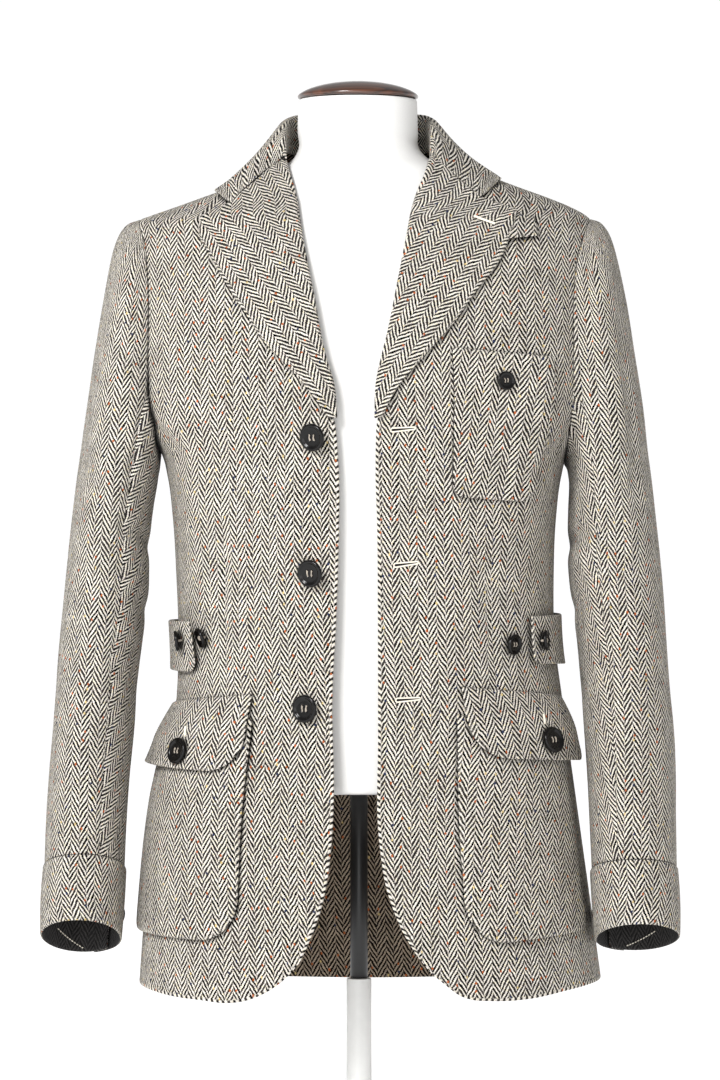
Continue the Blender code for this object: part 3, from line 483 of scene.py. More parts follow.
def armhole_end(side, low, high):
    """The height at which the armhole's edge meets the body's outermost line, by halving."""
    def inside(z):
        return abs(ARMHOLE_X[side](z)) < abs(outermost(z, side))

    for _ in range(40):
        middle = (low + high) / 2
        low, high = (middle, high) if inside(middle) == inside(low) else (low, middle)
    return (low + high) / 2


ARMHOLE_SPAN = {side: (armhole_end(side, 607, 640), armhole_end(side, 815, 837.9)) for side in SIGN}


def panel_start(z, side, back):
    low, high = ARMHOLE_SPAN[side]
    spare = math.degrees(SEAM / BODY_RADIUS)
    seam = SIGN[side] * (SEAM_TURN(z) + (spare if back else -spare))
    return np.where((low < z) & (z < high), turn_at(ARMHOLE_X[side](z), z, back), seam)


def hem_height(side, turn, share):
    """The height at which the hem passes a turn, found in a few steps."""
    z = mix(PANEL_ROWS[0], FRONT_EDGE[side][0][0], share)
    for _ in range(4):
        z = HEM_Z[side](body_point(z, turn, folded=False)[..., 0])
    return z


rows = finer(PANEL_ROWS, 3.6)
ROWS_Z = np.concatenate([[rows[0]], rows[0] + np.array(RIM_STEPS), rows[rows > rows[0] + RIM_STEPS[-1] + 1]])
print("armholes:", {side: [round(float(v)) for v in span] for side, span in ARMHOLE_SPAN.items()})

# %% Both fronts
# each front's dart: x and height of its upper and lower end; then how much cloth it takes up
DARTS = {"right": (-121, 577, -118, 407), "left": (115, 545, 115, 407)}
DART_WIDTH = 2.0
# distance of the stitches from an edge; the hem's stitches, and the turn beyond which they show
STITCH_GAP, STITCH_REACH = 5.0, 7
HEM_STITCH, HEM_STITCH_FROM = 48.0, 50
ROLLED_EDGE, ROLLED_AT, ROLLED_WIDE = 0.5, 2.4, 1.9
FACING_THICK, FACING_FADE = 0.9, 7.0


def front_place(side):
    """Height and turn of each point of a front, row by row up from the hem."""
    low_edge, top = FRONT_EDGE[side][0][0], FRONT_EDGE[side][-1][0]
    share = edged(84, 240)[None, :]
    z_side = ROWS_Z[:, None]
    fade = 1 - ease((z_side - PANEL_ROWS[0]) / HEM_FADE)
    z_edge = np.minimum(z_side + (low_edge - PANEL_ROWS[0]) * fade, top)
    tucked = SIGN[side] * LAPEL_TUCK * ease((z_edge - LAPEL_TUCK_FROM) / 30)
    turn = mix(panel_start(z_side, side, False), turn_at(EDGE_X[side](z_edge) + tucked, z_edge), share)
    hem = fade * (hem_height(side, turn, share) - mix(PANEL_ROWS[0], low_edge, share))
    return mix(z_side, z_edge, share) + hem, turn


def stitched(near, off, inside):
    """Lets the edge map's stitch groove also run along another line, at this distance off."""
    return np.where(inside & (np.abs(off) < STITCH_REACH), STITCH_GAP + np.clip(off * 1.6, -1.35, 20), near)


for side, sign in SIGN.items():
    z, turn = front_place(side)
    place = on_body(z, turn)
    from_edge = run_along(place[:, ::-1], 1)[:, ::-1]
    from_hem = run_along(place, 0)
    outer = on_body(z, turn, ROLLED_EDGE * np.exp(-(((from_edge - ROLLED_AT) / ROLLED_WIDE) ** 2)))
    inner = on_body(z, turn, -CLOTH - FACING_THICK * np.exp(-((from_edge / FACING_FADE) ** 2)))
    x_high, z_high, x_low, z_low = DARTS[side]
    down = (z_high - z) / (z_high - z_low)
    weave = unrolled(z, turn)
    off = (weave[..., 0] - unrolled(z, turn_at(mix(x_high, x_low, down), z))[..., 0]) * sign
    near = stitched(np.minimum(from_edge, from_hem), off, (down > 0) & (down < 1))
    near = stitched(near, from_hem - HEM_STITCH, turn * sign > HEM_STITCH_FROM)
    weave[..., 0] += sign * DART_WIDTH * np.sin(math.pi * np.clip(down, 0, 1)) * (off > 0)
    edge = np.stack([near, np.where(from_edge < from_hem, from_hem, from_edge)], -1)
    cloth("front_" + side, outer, inner, weave, edge, soft=("low", "end"))
print("each front:", z.shape, "points on its outer side")

# %% The back
TURN_UP, TURN_UP_THICK, TURN_UP_STEP = 50.0, 1.4, 1.6
z_side = ROWS_Z[:, None]
share = edged(118, 520)[None, :]
arch = np.sin(math.pi * share)
neck = ease((z_side - NECK_START) / (PANEL_ROWS[-1] - NECK_START)) * np.sqrt(np.maximum(arch, 0))
fade = 1 - ease((z_side - PANEL_ROWS[0]) / HEM_FADE)
z = z_side + fade * (BACK_HEM - PANEL_ROWS[0]) * arch + NECK_RISE * neck
turn = mix(panel_start(z_side, "left", True), panel_start(z_side, "right", True) + 360, share)
outer = on_body(z, turn)
from_hem = run_along(outer, 0)
inner = on_body(z, turn, -CLOTH - TURN_UP_THICK * (1 - ease((from_hem - TURN_UP) / TURN_UP_STEP)))
weave = unrolled(z, turn)
weave[..., 0] -= GIRTH(z) / 2
cloth("back", outer, inner, weave, np.stack([from_hem, run_along(outer, 1)], -1))
print("the back:", outer.shape, "points on its outer side, hem turned up by", TURN_UP, "mm")

# %% [markdown]
# ## The lapels
# A lapel is the top of the front turned back along its roll line. It isn't pressed flat: it leaves the front
# in a soft roll and stands a few millimetres off the chest. Here the shell starts inside the front's edge,
# goes round it in a half circle and then lies out over the chest. The weave on it is that of the facing, so
# its columns run parallel to the lapel's outer edge.

# %% The lapels
LAPEL_THICK, LAPEL_EASE = 2.4, 0.6
LAPEL_ROLL = 6.6
LAPEL_REST = 5.4
LAPEL_HEM = 4.8
LAPEL_FOOT = 650
LAPEL_LEAN = {"right": -31.5, "left": 31.5}
# a lapel's weave is cut a little wider and shorter than it lies; its usual width, to space its rows
LAPEL_STRETCH, LAPEL_WIDE = (1.1, 0.784), 75
ROLL_RADIUS, ROLL_TOP_RADIUS = 3.6, 2.5
TUCK = 5.0
# across the top: the gorge seam, the notch and the lapel's corner; then down the outer edge
GORGE = {
    "right": [(-68, 886), (-80, 876.5), (-92, 866), (-104, 855.5), (-115.7, 844.5), (-129, 838), (-143, 831)],
    "left": [(66.5, 884.5), (78, 876), (89, 866.5), (101.6, 856), (109.5, 849.6), (126, 843.5), (142, 838)],
}
LAPEL_EDGE = {
    "right": [(831, -143), (816, -143.3), (794, -131.6), (773, -120), (739, -98), (716, -82.6), (696, -63),
              (675, -45), (661, -34.5), (650, -27)],
    "left": [(838, 142), (824, 138.5), (804, 131.7), (785, 121), (763, 104), (737, 86), (711, 63.5),
             (696, 50), (684, 39.3), (674, 32.1), (663, 26), (652, 21.5)],
}


def gorge_at(side, u):
    steps = np.linspace(0, 1, len(GORGE[side]))
    return [curve([(step, *spot) for step, spot in zip(steps, GORGE[side])], k)(u) for k in (1, 2)]


def lapel_place(side, share, u):
    """x and height of a lapel's points: share from its top down, u from its roll line out."""
    top_in, corner = GORGE[side][0], GORGE[side][-1]
    edge_x = curve(LAPEL_EDGE[side])
    roll_z = mix(top_in[1], LAPEL_FOOT, share)
    roll_x = EDGE_X[side](roll_z) + (top_in[0] - EDGE_X[side](top_in[1])) * (1 - ease(share * 8))
    edge_z = mix(corner[1], LAPEL_EDGE[side][-1][0], share)
    fade = 1 - ease(share * 3)
    top_x, top_z = gorge_at(side, u)
    x = mix(roll_x, edge_x(edge_z), u) + fade * (top_x - mix(top_in[0], edge_x(corner[1]), u))
    z = mix(roll_z, edge_z, u) + fade * (top_z - mix(top_in[1], corner[1], u))
    return x, z + TUCK * (1 - ease(u / 0.3)) * (1 - ease(share / 0.06))


def lapel_lift(u, share):
    lift = mix(LAPEL_REST, LAPEL_ROLL, np.sin(math.pi * u) * ease(share * 4))
    lift = mix(LAPEL_HEM, lift, ease(u * 3))
    return mix(lift, LAPEL_HEM, ease(share * 6 - 5))


for side, sign in SIGN.items():
    share = edged(92, 250)[:, None]
    rim = np.array([*RIM_STEPS[3::-1], 0]) / LAPEL_WIDE
    u = np.concatenate([np.linspace(0, 1 - RIM_STEPS[-1] / LAPEL_WIDE, 34), 1 - rim])[None, :]
    x, z = lapel_place(side, share, u)
    turn = turn_at(x, z)
    lift = lapel_lift(u, share)
    swell = 0.3 * np.exp(-(((1 - u) * LAPEL_WIDE - ROLLED_AT) ** 2) / 3)
    under = mix(LAPEL_THICK - LAPEL_EASE, LAPEL_THICK, ease(u * 6)) + 0 * share
    theta = np.radians(np.arange(-90, 90, 18))[None, :]
    radius = mix(ROLL_TOP_RADIUS, ROLL_RADIUS, ease((1 - share) * 7))
    arm = np.linalg.norm(body_point(z[:, :1], turn[:, :1])[..., :2], axis=-1)
    fold_z = np.repeat(z[:, :1], theta.size, 1)
    layers, fold_turns = [], []
    for bend, flat in ((radius, lift + swell), (radius - LAPEL_THICK + LAPEL_EASE, lift - under)):
        fold_turns.append(turn[:, :1] - sign * np.degrees(bend * np.cos(theta) / arm))
        fold = on_body(fold_z, fold_turns[-1], LAPEL_HEM - radius + bend * np.sin(theta))
        layers.append(np.concatenate([fold, on_body(z, turn, flat)], 1))
    weave = unrolled(np.concatenate([fold_z, z], 1), np.concatenate([fold_turns[0], turn], 1))
    weave = turned(weave, -LAPEL_LEAN[side], *LAPEL_STRETCH)
    cloth("lapel_" + side, *layers, weave, edge_map(layers[0], ("low", "end")))
print("each lapel:", layers[0].shape, "points on its outer side")

# %% [markdown]
# ## The collar
# The collar is a band that stands up round the neck and falls back over itself. Thirteen stations round the
# neck give its roll line, its outer edge and the height of its stand. Each station has the same section: up
# the inside, over the crest and down the fall. Its two front ends follow the gorge seams of the lapels.

# %% The collar
COLLAR_THICK = 2.4
#         roll line x, y, z     outer edge x, y, z    height of the inner stand
COLLAR = {
    "right": [
        (-66, -30, 890, -132, -30, 862, 2),
        (-66.5, -16, 908, -121, -12, 870, 12),
        (-65, 5, 921, -107, 8, 877, 24),
        (-60, 29, 930, -88, 30, 882, 32),
        (-46, 51, 935, -61, 54, 886, 36),
        (-24, 64, 937, -33, 69, 888, 37),
    ],
    "left": [
        (64.5, -34, 889, 130, -28, 873, 2),
        (65, -18, 908, 121, -8, 880, 12),
        (64.5, 5, 922, 108, 12, 884, 24),
        (60, 29, 931, 90, 34, 886, 32),
        (47, 51, 935, 64, 56, 887, 36),
        (25, 64, 937, 35, 70, 888, 37),
    ],
    "back": [(0.5, 68, 938, 1, 76, 888, 37)],
}
COLLAR_NOTCH = 4 / 6
COLLAR_SEAM = 0.5
COLLAR_OVER = 3.4
COLLAR_ROLL = 7.5
COLLAR_FINE = 9
COLLAR_STAND = (1, 0.6, 0.25)
# shares of the roll's width and heights over it: two points of the crest, the fall's start and its bend
COLLAR_CREST = [(0.12, 0.8), (0.5, 2.6), (1.0, 1.0), (1.7, 0.5)]
COLLAR_FALL = (0.08, 0.24, 0.42, 0.6, 0.78, 1.0)


def collar_section(station):
    """Eleven points from the foot of the stand, over the crest, down to the outer edge."""
    roll, edge, stand = station[0:3], station[3:6], station[6]
    out = (edge - roll) * (1, 1, 0)
    out = out / np.linalg.norm(out)
    up = np.array((0, 0, 1.0))
    points = [roll - up * share * stand for share in COLLAR_STAND]
    *crest, start, bend = [roll + out * COLLAR_ROLL * a + up * b for a, b in COLLAR_CREST]
    return points + crest + [(1 - t) ** 2 * start + 2 * t * (1 - t) * bend + t * t * edge for t in COLLAR_FALL]


def kept_over(points, least):
    """The points, moved out where they are closer to the panels than the least height."""
    for _ in range(3):
        centre = section(points[..., 2])[0]
        turn = np.degrees(np.arctan2(points[..., 0] - centre, -points[..., 1]))
        out = outward(points[..., 2], turn)
        height = ((points - body_point(points[..., 2], turn)) * out).sum(-1)
        points = points + out * np.maximum(least - height, 0)[..., None]
    return points


stations = np.array(COLLAR["right"] + COLLAR["back"] + COLLAR["left"][::-1], float)
places = np.arange((len(stations) - 1) * COLLAR_FINE + 1) / COLLAR_FINE
grid = np.array([collar_section(station) for station in resampled(stations, places)])
falls = len(COLLAR_FALL)
for side, order in (("right", range(COLLAR_FINE)), ("left", range(-1, -1 - COLLAR_FINE, -1))):
    u = np.array(COLLAR_FALL[:-1]) / COLLAR_FALL[-2] * COLLAR_NOTCH
    x, z = gorge_at(side, u)
    seam = on_body(z + COLLAR_SEAM, turn_at(x, z + COLLAR_SEAM), lapel_lift(u, 0))
    shift = seam - grid[order[0], -falls:-1]
    for k, at in enumerate(order):
        grid[at, -falls:-1] += shift * (1 - k / COLLAR_FINE)
grid[1:-1, -falls:] = kept_over(grid[1:-1, -falls:], COLLAR_OVER)
across = np.concatenate([np.arange(0, 10, 0.2), 10 - np.array([0.14, 0.08, 0.03, 0])])
outer = resampled(grid, across, axis=1)
outer = resampled(outer, even_places(outer, 4.0))
inner = outer + grid_normals(outer) * COLLAR_THICK
length = run_along(outer[:, 14:15], 0)
length = length - length.mean()
down = run_along(outer, 1)
weave = np.stack([down, length + 0 * down], -1)
cloth("collar", outer, inner, weave, edge_map(outer, ("low", "high", "end")))
print("the collar:", outer.shape, "points on its outer side")

# %% [markdown]
# ## The sleeves
# A tailored sleeve has two pieces, a wide top sleeve and a narrow under sleeve, sewn into one bent tube. The
# tube starts at the armhole and runs through fifteen leaning ovals down to the cuff. Where the elbow bends,
# the cloth folds into slanting creases that are deepest on the inside of the bend and fade towards the back.

# %% The sleeves' tables
SLEEVE = {
    "right": [
        (-183.4, 606, -215, 829, 0, 66, 0),
        (-184.4, 601, -225.5, 808, 0, 70, 0),
        (-185, 597, -235, 760, 0, 72, 0),
        (-185.6, 592, -243, 712, 0, 72, 0),
        (-187, 584, -250, 668, 0, 71, 0),
        (-189, 572, -257, 620, 0, 70, 0),
        (-191.5, 551, -264.5, 556, 0, 67, 1),
        (-193, 522, -268, 524, 2, 65, 2),
        (-194, 488, -271.5, 488, 2, 63, 5),
        (-199, 450, -275, 450, -2, 62, 9),
        (-203.5, 412, -278, 412, -7, 61, 12),
        (-206, 370, -281.5, 370, -13, 60, 14),
        (-210, 326, -284, 326, -20, 58, 15),
        (-212.5, 284, -286, 284, -27, 56, 16),
        (-214, 243, -287, 243, -34, 54, 16),
    ],
    "left": [
        (191.4, 606, 224, 831, 0, 66, 0),
        (192.4, 601, 234, 812, 0, 70, 0),
        (193, 597, 245.5, 762, 0, 72, 0),
        (193.4, 592, 253.5, 712, 0, 72, 0),
        (193.2, 584, 260.5, 668, 0, 71, 0),
        (192.6, 572, 266.5, 620, 0, 70, 0),
        (192, 551, 273.5, 556, -1, 67, 1),
        (192, 522, 277, 524, -1, 65, 2),
        (195, 488, 280, 488, -3, 63, 5),
        (200, 450, 282, 450, -9, 62, 9),
        (203, 412, 284, 412, -17, 61, 12),
        (205.5, 370, 286.5, 370, -29, 60, 14),
        (208, 326, 287.5, 326, -41, 58, 15),
        (209.5, 284, 288, 284, -52, 56, 14),
        (211, 243, 288, 243, -61, 54, 13),
    ],
}
SLEEVE_STEP = 3.4
SLEEVE_GAP = 0.2
SMOOTH_BELOW = 246
SLEEVE_HEAD_SHARE = 0.999
SLEEVE_HEAD_RINGS = 6
SLEEVE_SEAM_TURN = 117
UNDER_SLEEVE_LEAN = {"right": 38, "left": -14}
SLEEVE_RADIUS = 55.0
# creases round the elbow: turn round the sleeve, height, half turn, half height, depth
SLEEVE_FOLDS = [
    (150, 545, 50, 9, -4.0),
    (95, 500, 45, 11, -3.5),
    (60, 585, 45, 14, -3.0),
    (215, 470, 45, 10, -3.0),
    (120, 420, 45, 12, -2.5),
]
CREASE_SLANT = 0.25
# softer creases along lines, for each sleeve: turn and height of both ends, width, depth
SLEEVE_CREASES = {
    "right": [
        (62, 740, 96, 690, 9, -2.2),
        (112, 700, 116, 470, 5, -1.8),
        (98, 640, 120, 600, 9, -2.0),
        (30, 700, 22, 560, 16, -1.6),
        (70, 470, 40, 430, 13, -1.4),
        (84, 400, 62, 330, 14, 1.2),
        (10, 420, 20, 300, 16, -1.2),
        (-60, 700, -44, 560, 15, -2.0),
        (-90, 560, -50, 520, 12, -2.4),
        (-100, 500, -60, 480, 12, 2.0),
        (-84, 440, -50, 410, 12, -2.0),
        (128, 520, 160, 505, 9, 1.8),
        (140, 480, 180, 470, 9, -2.0),
    ],
    "left": [
        (40, 745, 66, 540, 9, -2.6),
        (62, 700, 84, 600, 11, 1.6),
        (84, 620, 92, 500, 10, -1.8),
        (70, 470, 50, 425, 13, 1.2),
        (60, 400, 76, 330, 13, -1.3),
        (14, 400, 6, 300, 16, 1.2),
        (-60, 710, -46, 565, 15, -2.0),
        (-92, 560, -56, 524, 12, -2.4),
        (-100, 505, -64, 484, 12, 2.0),
        (-80, 436, -48, 412, 12, -2.0),
        (130, 524, 160, 508, 9, 1.8),
        (140, 486, 178, 474, 9, -2.0),
    ],
}


# %% The sleeves' tubes
def armhole_ring(side, angle):
    """Points of the armhole's edge; 0 is the top, 90 the front and 180 the underarm."""
    low, high = ARMHOLE_SPAN[side]
    z = (low + high) / 2 + (high - low) / 2 * SLEEVE_HEAD_SHARE * np.cos(np.radians(angle))
    point = body_point(z, turn_at(ARMHOLE_X[side](z), z, np.sin(np.radians(angle)) < 0))
    point[..., 0] += SIGN[side] * SLEEVE_GAP
    return point


def oval_ring(values, angle, grow=0.0):
    """Points of a leaning oval between the inner and outer silhouette."""
    in_x, in_z, out_x, out_z, mid_y, deep, lean = values
    c, s = np.cos(np.radians(angle))[:, None], np.sin(np.radians(angle))[:, None]
    grow = np.broadcast_to(grow, np.shape(angle))[:, None]
    across = np.array((out_x - in_x, 0, out_z - in_z), float) / 2
    middle = np.array(((in_x + out_x) / 2, mid_y, (in_z + out_z) / 2))
    forward = np.array((0, -math.cos(math.radians(lean)), math.sin(math.radians(lean))))
    return middle + across * c * (1 + grow / np.linalg.norm(across)) + forward * s * (deep + grow)


def sleeve_tube(side, angles, places=None):
    """The tube's points at these turns, drawn through the armhole and the ovals."""
    rings = [armhole_ring(side, angles)]
    widest = armhole_ring(side, np.array([90.0]))[0, 1]
    for k, values in enumerate(SLEEVE[side], 1):
        ring = oval_ring(values, angles)
        keep = max(1 - k / SLEEVE_HEAD_RINGS, 0)
        ring[:, 1] = mix(ring[:, 1], -values[5] * rings[0][:, 1] / widest, keep)
        rings.append(ring)
    rings = np.array(rings)
    places = even_places(rings, SLEEVE_STEP) if places is None else places
    return resampled(rings, places), places


# lengths round ovals of unit depth, for shares of width to depth, from the outer line
OVAL_TURNS, OVAL_SHARES = np.arange(-180, 361, 4.0), np.linspace(0.3, 1.3, 41)
_c, _s = np.cos(np.radians(OVAL_TURNS)), np.sin(np.radians(OVAL_TURNS))
_arcs = np.pad(np.cumsum(np.hypot(OVAL_SHARES[:, None] * np.diff(_c), np.diff(_s)), axis=1), ((0, 0), (1, 0)))
OVAL_ARCS = _arcs - _arcs[:, 45:46]


def round_sleeve(side, points, under):
    """Distance round the sleeve from its outer line, at each point's own height."""
    table = np.array(SLEEVE[side], float)
    z, y = points[..., 2], points[..., 1]
    inner_x, outer_x = curve(table[:, (1, 0)])(z), curve(table[:, (3, 2)])(z)
    deep, mid_y = curve(table[:, (3, 5)])(z), curve(table[:, (3, 4)])(z)
    half = np.abs(outer_x - inner_x) / 2
    across = (points[..., 0] - (inner_x + outer_x) / 2) * SIGN[side]
    turn = np.degrees(np.arctan2(-(y - mid_y) / deep, across / half))
    turn = turn % 360 if under else turn
    return between(OVAL_ARCS, (half / deep - 0.3) / 0.025, (turn + 180) / 4) * deep


def sleeve_piece(name, side, first, last, count):
    angles = np.linspace(first, last, count)
    base, places = sleeve_tube(side, angles)
    ahead, behind = (sleeve_tube(side, angles + step, places)[0] for step in (1, -1))
    out = np.cross(ahead - behind, np.gradient(base, axis=0)) * SIGN[side]
    out /= np.linalg.norm(out, axis=2, keepdims=True)
    heights = [(v[1] + v[3]) / 2 for v in SLEEVE[side]]
    height = resampled(np.array([[heights[0] + 10]] + [[h] for h in heights]), places)
    around = np.radians((angles + 180) % 360 - 180)[None, :] * SLEEVE_RADIUS
    fold = bumps(angles[None, :], height, SLEEVE_FOLDS, CREASE_SLANT)
    fold = fold + line_folds(around, base[..., 2], lines_round(SLEEVE_CREASES[side], SLEEVE_RADIUS))
    outer = base + out * (fold * ease((height - SMOOTH_BELOW) / 30))[..., None]
    u = round_sleeve(side, base, first > 0)
    travel = np.linalg.norm(np.diff(base, axis=0), axis=2) ** 2 - np.diff(u, axis=0) ** 2
    climb = np.sqrt(np.maximum(travel, 0)) * -np.sign(np.diff(base[..., 2], axis=0))
    v = base[-1:, :, 2] + np.pad(np.cumsum(climb[::-1], axis=0)[::-1], ((0, 1), (0, 0)))
    weave = np.stack([u * SIGN[side], v], -1)
    if first > 0:
        weave = turned(weave, UNDER_SLEEVE_LEAN[side])
    cloth(name, outer, outer - out * CLOTH, weave, edge_map(outer, ("low",)))


for side in SIGN:
    seam = SLEEVE_SEAM_TURN - 0.15
    sleeve_piece("top_sleeve_" + side, side, -seam, seam, 78)
    sleeve_piece("under_sleeve_" + side, side, seam + 0.3, 360 - seam - 0.3, 44)
print("sleeves made:", [name for name in pieces if "sleeve" in name])

# %% [markdown]
# ## The cuffs
# Each cuff is a band sewn round the end of the sleeve. Its two ends overlap at the back, where a button holds
# them. The band is one strip that goes once round and climbs over its own start. Its inside is a dark cloth,
# which shows as a deep shadow when one looks up the sleeve.

# %% The cuffs
CUFF_THICK = 2.4
CUFF_PROUD = 1.2
#         inner x, outer x, z, middle y, half depth, lean
CUFF_RIM = {"right": (-217.5, -288.5, 181, -51, 52, 21), "left": (215, 289, 182, -75, 52, 18)}
CUFF_LAP_START = 232
CUFF_LAP = 24
CUFF_LAP_RISE = 3.2
CUFF_LAP_CLIMB = (300, 355)


def cuff_values(side, share):
    """Oval of the cuff from its seam, 0, to its rim, 1."""
    in_x, in_z, out_x, out_z, mid_y, deep, lean = SLEEVE[side][-1]
    rim_in, rim_out, rim_z, rim_y, rim_deep, rim_lean = CUFF_RIM[side]
    z = mix(in_z - 0.2, rim_z, share)
    pairs = (mid_y, rim_y), (deep, rim_deep), (lean, rim_lean)
    return (mix(in_x, rim_in, share), z, mix(out_x, rim_out, share), z, *(mix(a, b, share) for a, b in pairs))


def cuff_grid(side, lift=0.0):
    sweep = (360 + CUFF_LAP) * edged(118, 380)
    rise = CUFF_LAP_RISE * ease((sweep - CUFF_LAP_CLIMB[0]) / (CUFF_LAP_CLIMB[1] - CUFF_LAP_CLIMB[0]))
    rows = []
    for share in edged(16, 62):
        belly = 0.8 * math.sin(math.pi * share) * (1 + 0.5 * np.sin(np.radians(sweep * 3)))
        grow = CUFF_PROUD + rise + lift + belly
        rows.append(oval_ring(cuff_values(side, share), CUFF_LAP_START + sweep, grow))
    return np.array(rows)


for side in SIGN:
    outer = cuff_grid(side)
    inner = cuff_grid(side, -CUFF_THICK)
    weave = np.stack([run_along(outer, 1) * SIGN[side], -run_along(outer, 0)], -1)
    cloth("cuff_" + side, outer, inner, weave, edge_map(outer, ("high", "end")))
print("cuff band:", round(float(run_along(outer, 1)[0, -1])), "mm long")

# %% [markdown]
# ## Pockets, flaps and tabs
# These are patches that lie on the panels, so each is made from the body's own points, moved out. A bellows
# pocket stands off the cloth on a folded side strip: its front is a soft slab whose rim hangs over a recessed
# foot. A flap is thin at its top seam and rides over the pocket below. A side tab is sewn at one end only.

# %% The patches' tables
# turn from and to, bottom height at each end, top height at each end, bottom corner radius at each end,
# thickness, height of the outer side over the panel, lean of the weave
PATCHES = {
    "pocket_right": (-94, -44, 185, 182, 372, 380, 22, 38, 3.1, 6.9, 0),
    "pocket_left": (33.5, 73, 181, 187, 384, 378, 40, 14, 3.1, 6.9, 2.7),
    "flap_right": (-91, -45, 334, 332, 391, 402.5, 10, 34, 2.2, 11.4, 5),
    "flap_left": (36, 79, 344, 339, 409.5, 399, 44, 10, 2.2, 11.4, -10),
    "pocket_chest": (34.5, 63, 579, 576, 713.5, 706, 14, 16, 2.2, 3.4, 8),
    "tab_right": (-104, -66, 424, 421, 468, 468, 1, 11, 2.2, 3.4, 4),
    "tab_left": (63, 100, 428, 426, 472, 474, 9, 1, 2.2, 3.4, -4),
}
CLEAR = 0.6
FLAP_HINGE, FLAP_SPRING = 34, 1.5
FLAP_SEAM = 3.0
PATCH_SPREAD = 1.5
BELLOWS_PUFF, BELLOWS_RIM, BELLOWS_STRIP = 1.6, 1.8, 4.4
TAB_LIFT = 4.5
TAB_ARCH = 3.5
# how far a tab's free end stands out more at its bottom, and what its top adds to that
TAB_SLANT = {"tab_right": (-3, 8), "tab_left": (0, 0)}
PLEAT_TURN = 53.5
PLEAT_RISE = 1.6
PLEAT_WIDTH = 3
FLAP_FLARE = {"flap_right": 6.0, "flap_left": 3.5}
FLAP_LIP, FLAP_LIP_TALL = 1.8, 9
THROAT_TAB = [(133, 811), (160.3, 814.4), (158.9, 833), (138, 837)]
THROAT_THICK = 1.8
THROAT_RISE = 6.0


# %% The patches' places
def corner_inset(height, radius):
    """How far a rounded bottom corner cuts in at this height over the bottom edge."""
    inside = np.clip(radius**2 - (radius - height) ** 2, 0, None)
    return np.where(height >= radius, 0.0, radius - np.sqrt(inside))


def patch_place(turn_a, turn_b, low_a, low_b, top_a, top_b, round_a, round_b):
    """Height, turn, share across, height over the bottom edge and depth under the top of a patch's points."""
    tall, wide = max(top_a - low_a, top_b - low_b), abs(turn_b - turn_a) * 3.2
    u = edged(max(int(wide / 2.6), 14), wide)[None, :]
    share = np.linspace(0, 1, int(tall / 2.8) + 8)[:-1] ** PATCH_SPREAD
    share = np.sort(np.concatenate([share, 1 - np.array([*RIM_STEPS[2::-1], 0]) / tall]))[:, None]
    low, top = mix(low_a, low_b, u), mix(top_a, top_b, u)
    height = (top - low) * share
    arm = np.linalg.norm(body_point(low + height, (turn_a + turn_b) / 2)[..., :2], axis=-1)
    inset_a, inset_b = (np.degrees(corner_inset(height, radius) / arm) for radius in (round_a, round_b))
    return low + height, mix(turn_a + inset_a, turn_b - inset_b, u), u + 0 * height, height, top - low - height


def finished_edges(name):
    """A patch's edges that aren't sewn down."""
    if name == "pocket_chest":
        return ("low", "high", "end")
    if name.startswith("tab"):
        return ("low", "high", "start" if "left" in name else "end")
    return ("low", "start", "end")


patch_sides = {}
for name, (*place, thick, lift, lean) in PATCHES.items():
    z, turn, u, height, top_gap = patch_place(*place)
    near = edge_map(on_body(z, turn, lift), finished_edges(name))
    gap = near[..., 0]
    if name in ("pocket_right", "pocket_left"):
        puff = np.sin(math.pi * u) * np.sin(math.pi * np.clip(height / 170, 0, 1)) * (1 - ease((z - 300) / 50))
        rise = lift + BELLOWS_PUFF * puff - BELLOWS_RIM * np.exp(-gap / 2.4)
        sink = np.where(gap > BELLOWS_STRIP, CLEAR, rise - 2.3)
    elif name.startswith("flap"):
        free = 1 - u if name.endswith("right") else u
        wave = 0.5 * np.sin(u * 9 + 1) * np.clip(1 - height / 40, 0, 1)
        wave = wave + FLAP_FLARE[name] * (top_gap / 60) * free**2 + FLAP_LIP * np.exp(-height / FLAP_LIP_TALL)
        hinged = 1 - (1 - np.clip(top_gap / FLAP_HINGE, 0, 1)) ** FLAP_SPRING
        rise = mix(FLAP_SEAM, lift, hinged) + wave - 0.7 * np.exp(-gap / 4)
        sink = rise - thick
    elif name.startswith("tab"):
        free = u if name.endswith("right") else 1 - u
        slant = TAB_SLANT[name][0] + TAB_SLANT[name][1] * height / 44
        rise = lift + (TAB_LIFT + slant) * free**2 + TAB_ARCH * np.sin(math.pi * free)
        sink = rise - thick
    else:
        rise = lift - 0.5 * np.exp(-gap / 2.0) + PLEAT_RISE * ease((turn - PLEAT_TURN) / PLEAT_WIDTH + 0.5)
        sink = np.full_like(rise, CLEAR * 0.5)
    patch_sides[name] = on_body(z, turn, rise)
    cloth(name, patch_sides[name], on_body(z, turn, sink), turned(unrolled(z, turn), -lean), near)
corners = [np.array(p, float) for p in THROAT_TAB]
r, c = (edged(count, long, RIM_STEPS[:2]) for count, long in ((8, 20), (10, 26)))
r, c = r[:, None, None], c[None, :, None]
spot = mix(mix(corners[0], corners[1], c), mix(corners[3], corners[2], c), r)
turn = turn_at(spot[..., 0], spot[..., 1])
outer = on_body(spot[..., 1], turn, mix(THROAT_RISE, CLEAR + THROAT_THICK, r[..., 0]))
inner = on_body(spot[..., 1], turn, mix(THROAT_RISE - THROAT_THICK, CLEAR * 0.5, r[..., 0]))
cloth("throat_tab", outer, inner, turned(unrolled(spot[..., 1], turn), -8), edge_map(outer, ALL_EDGES))
print("patches made:", len(PATCHES) + 1)

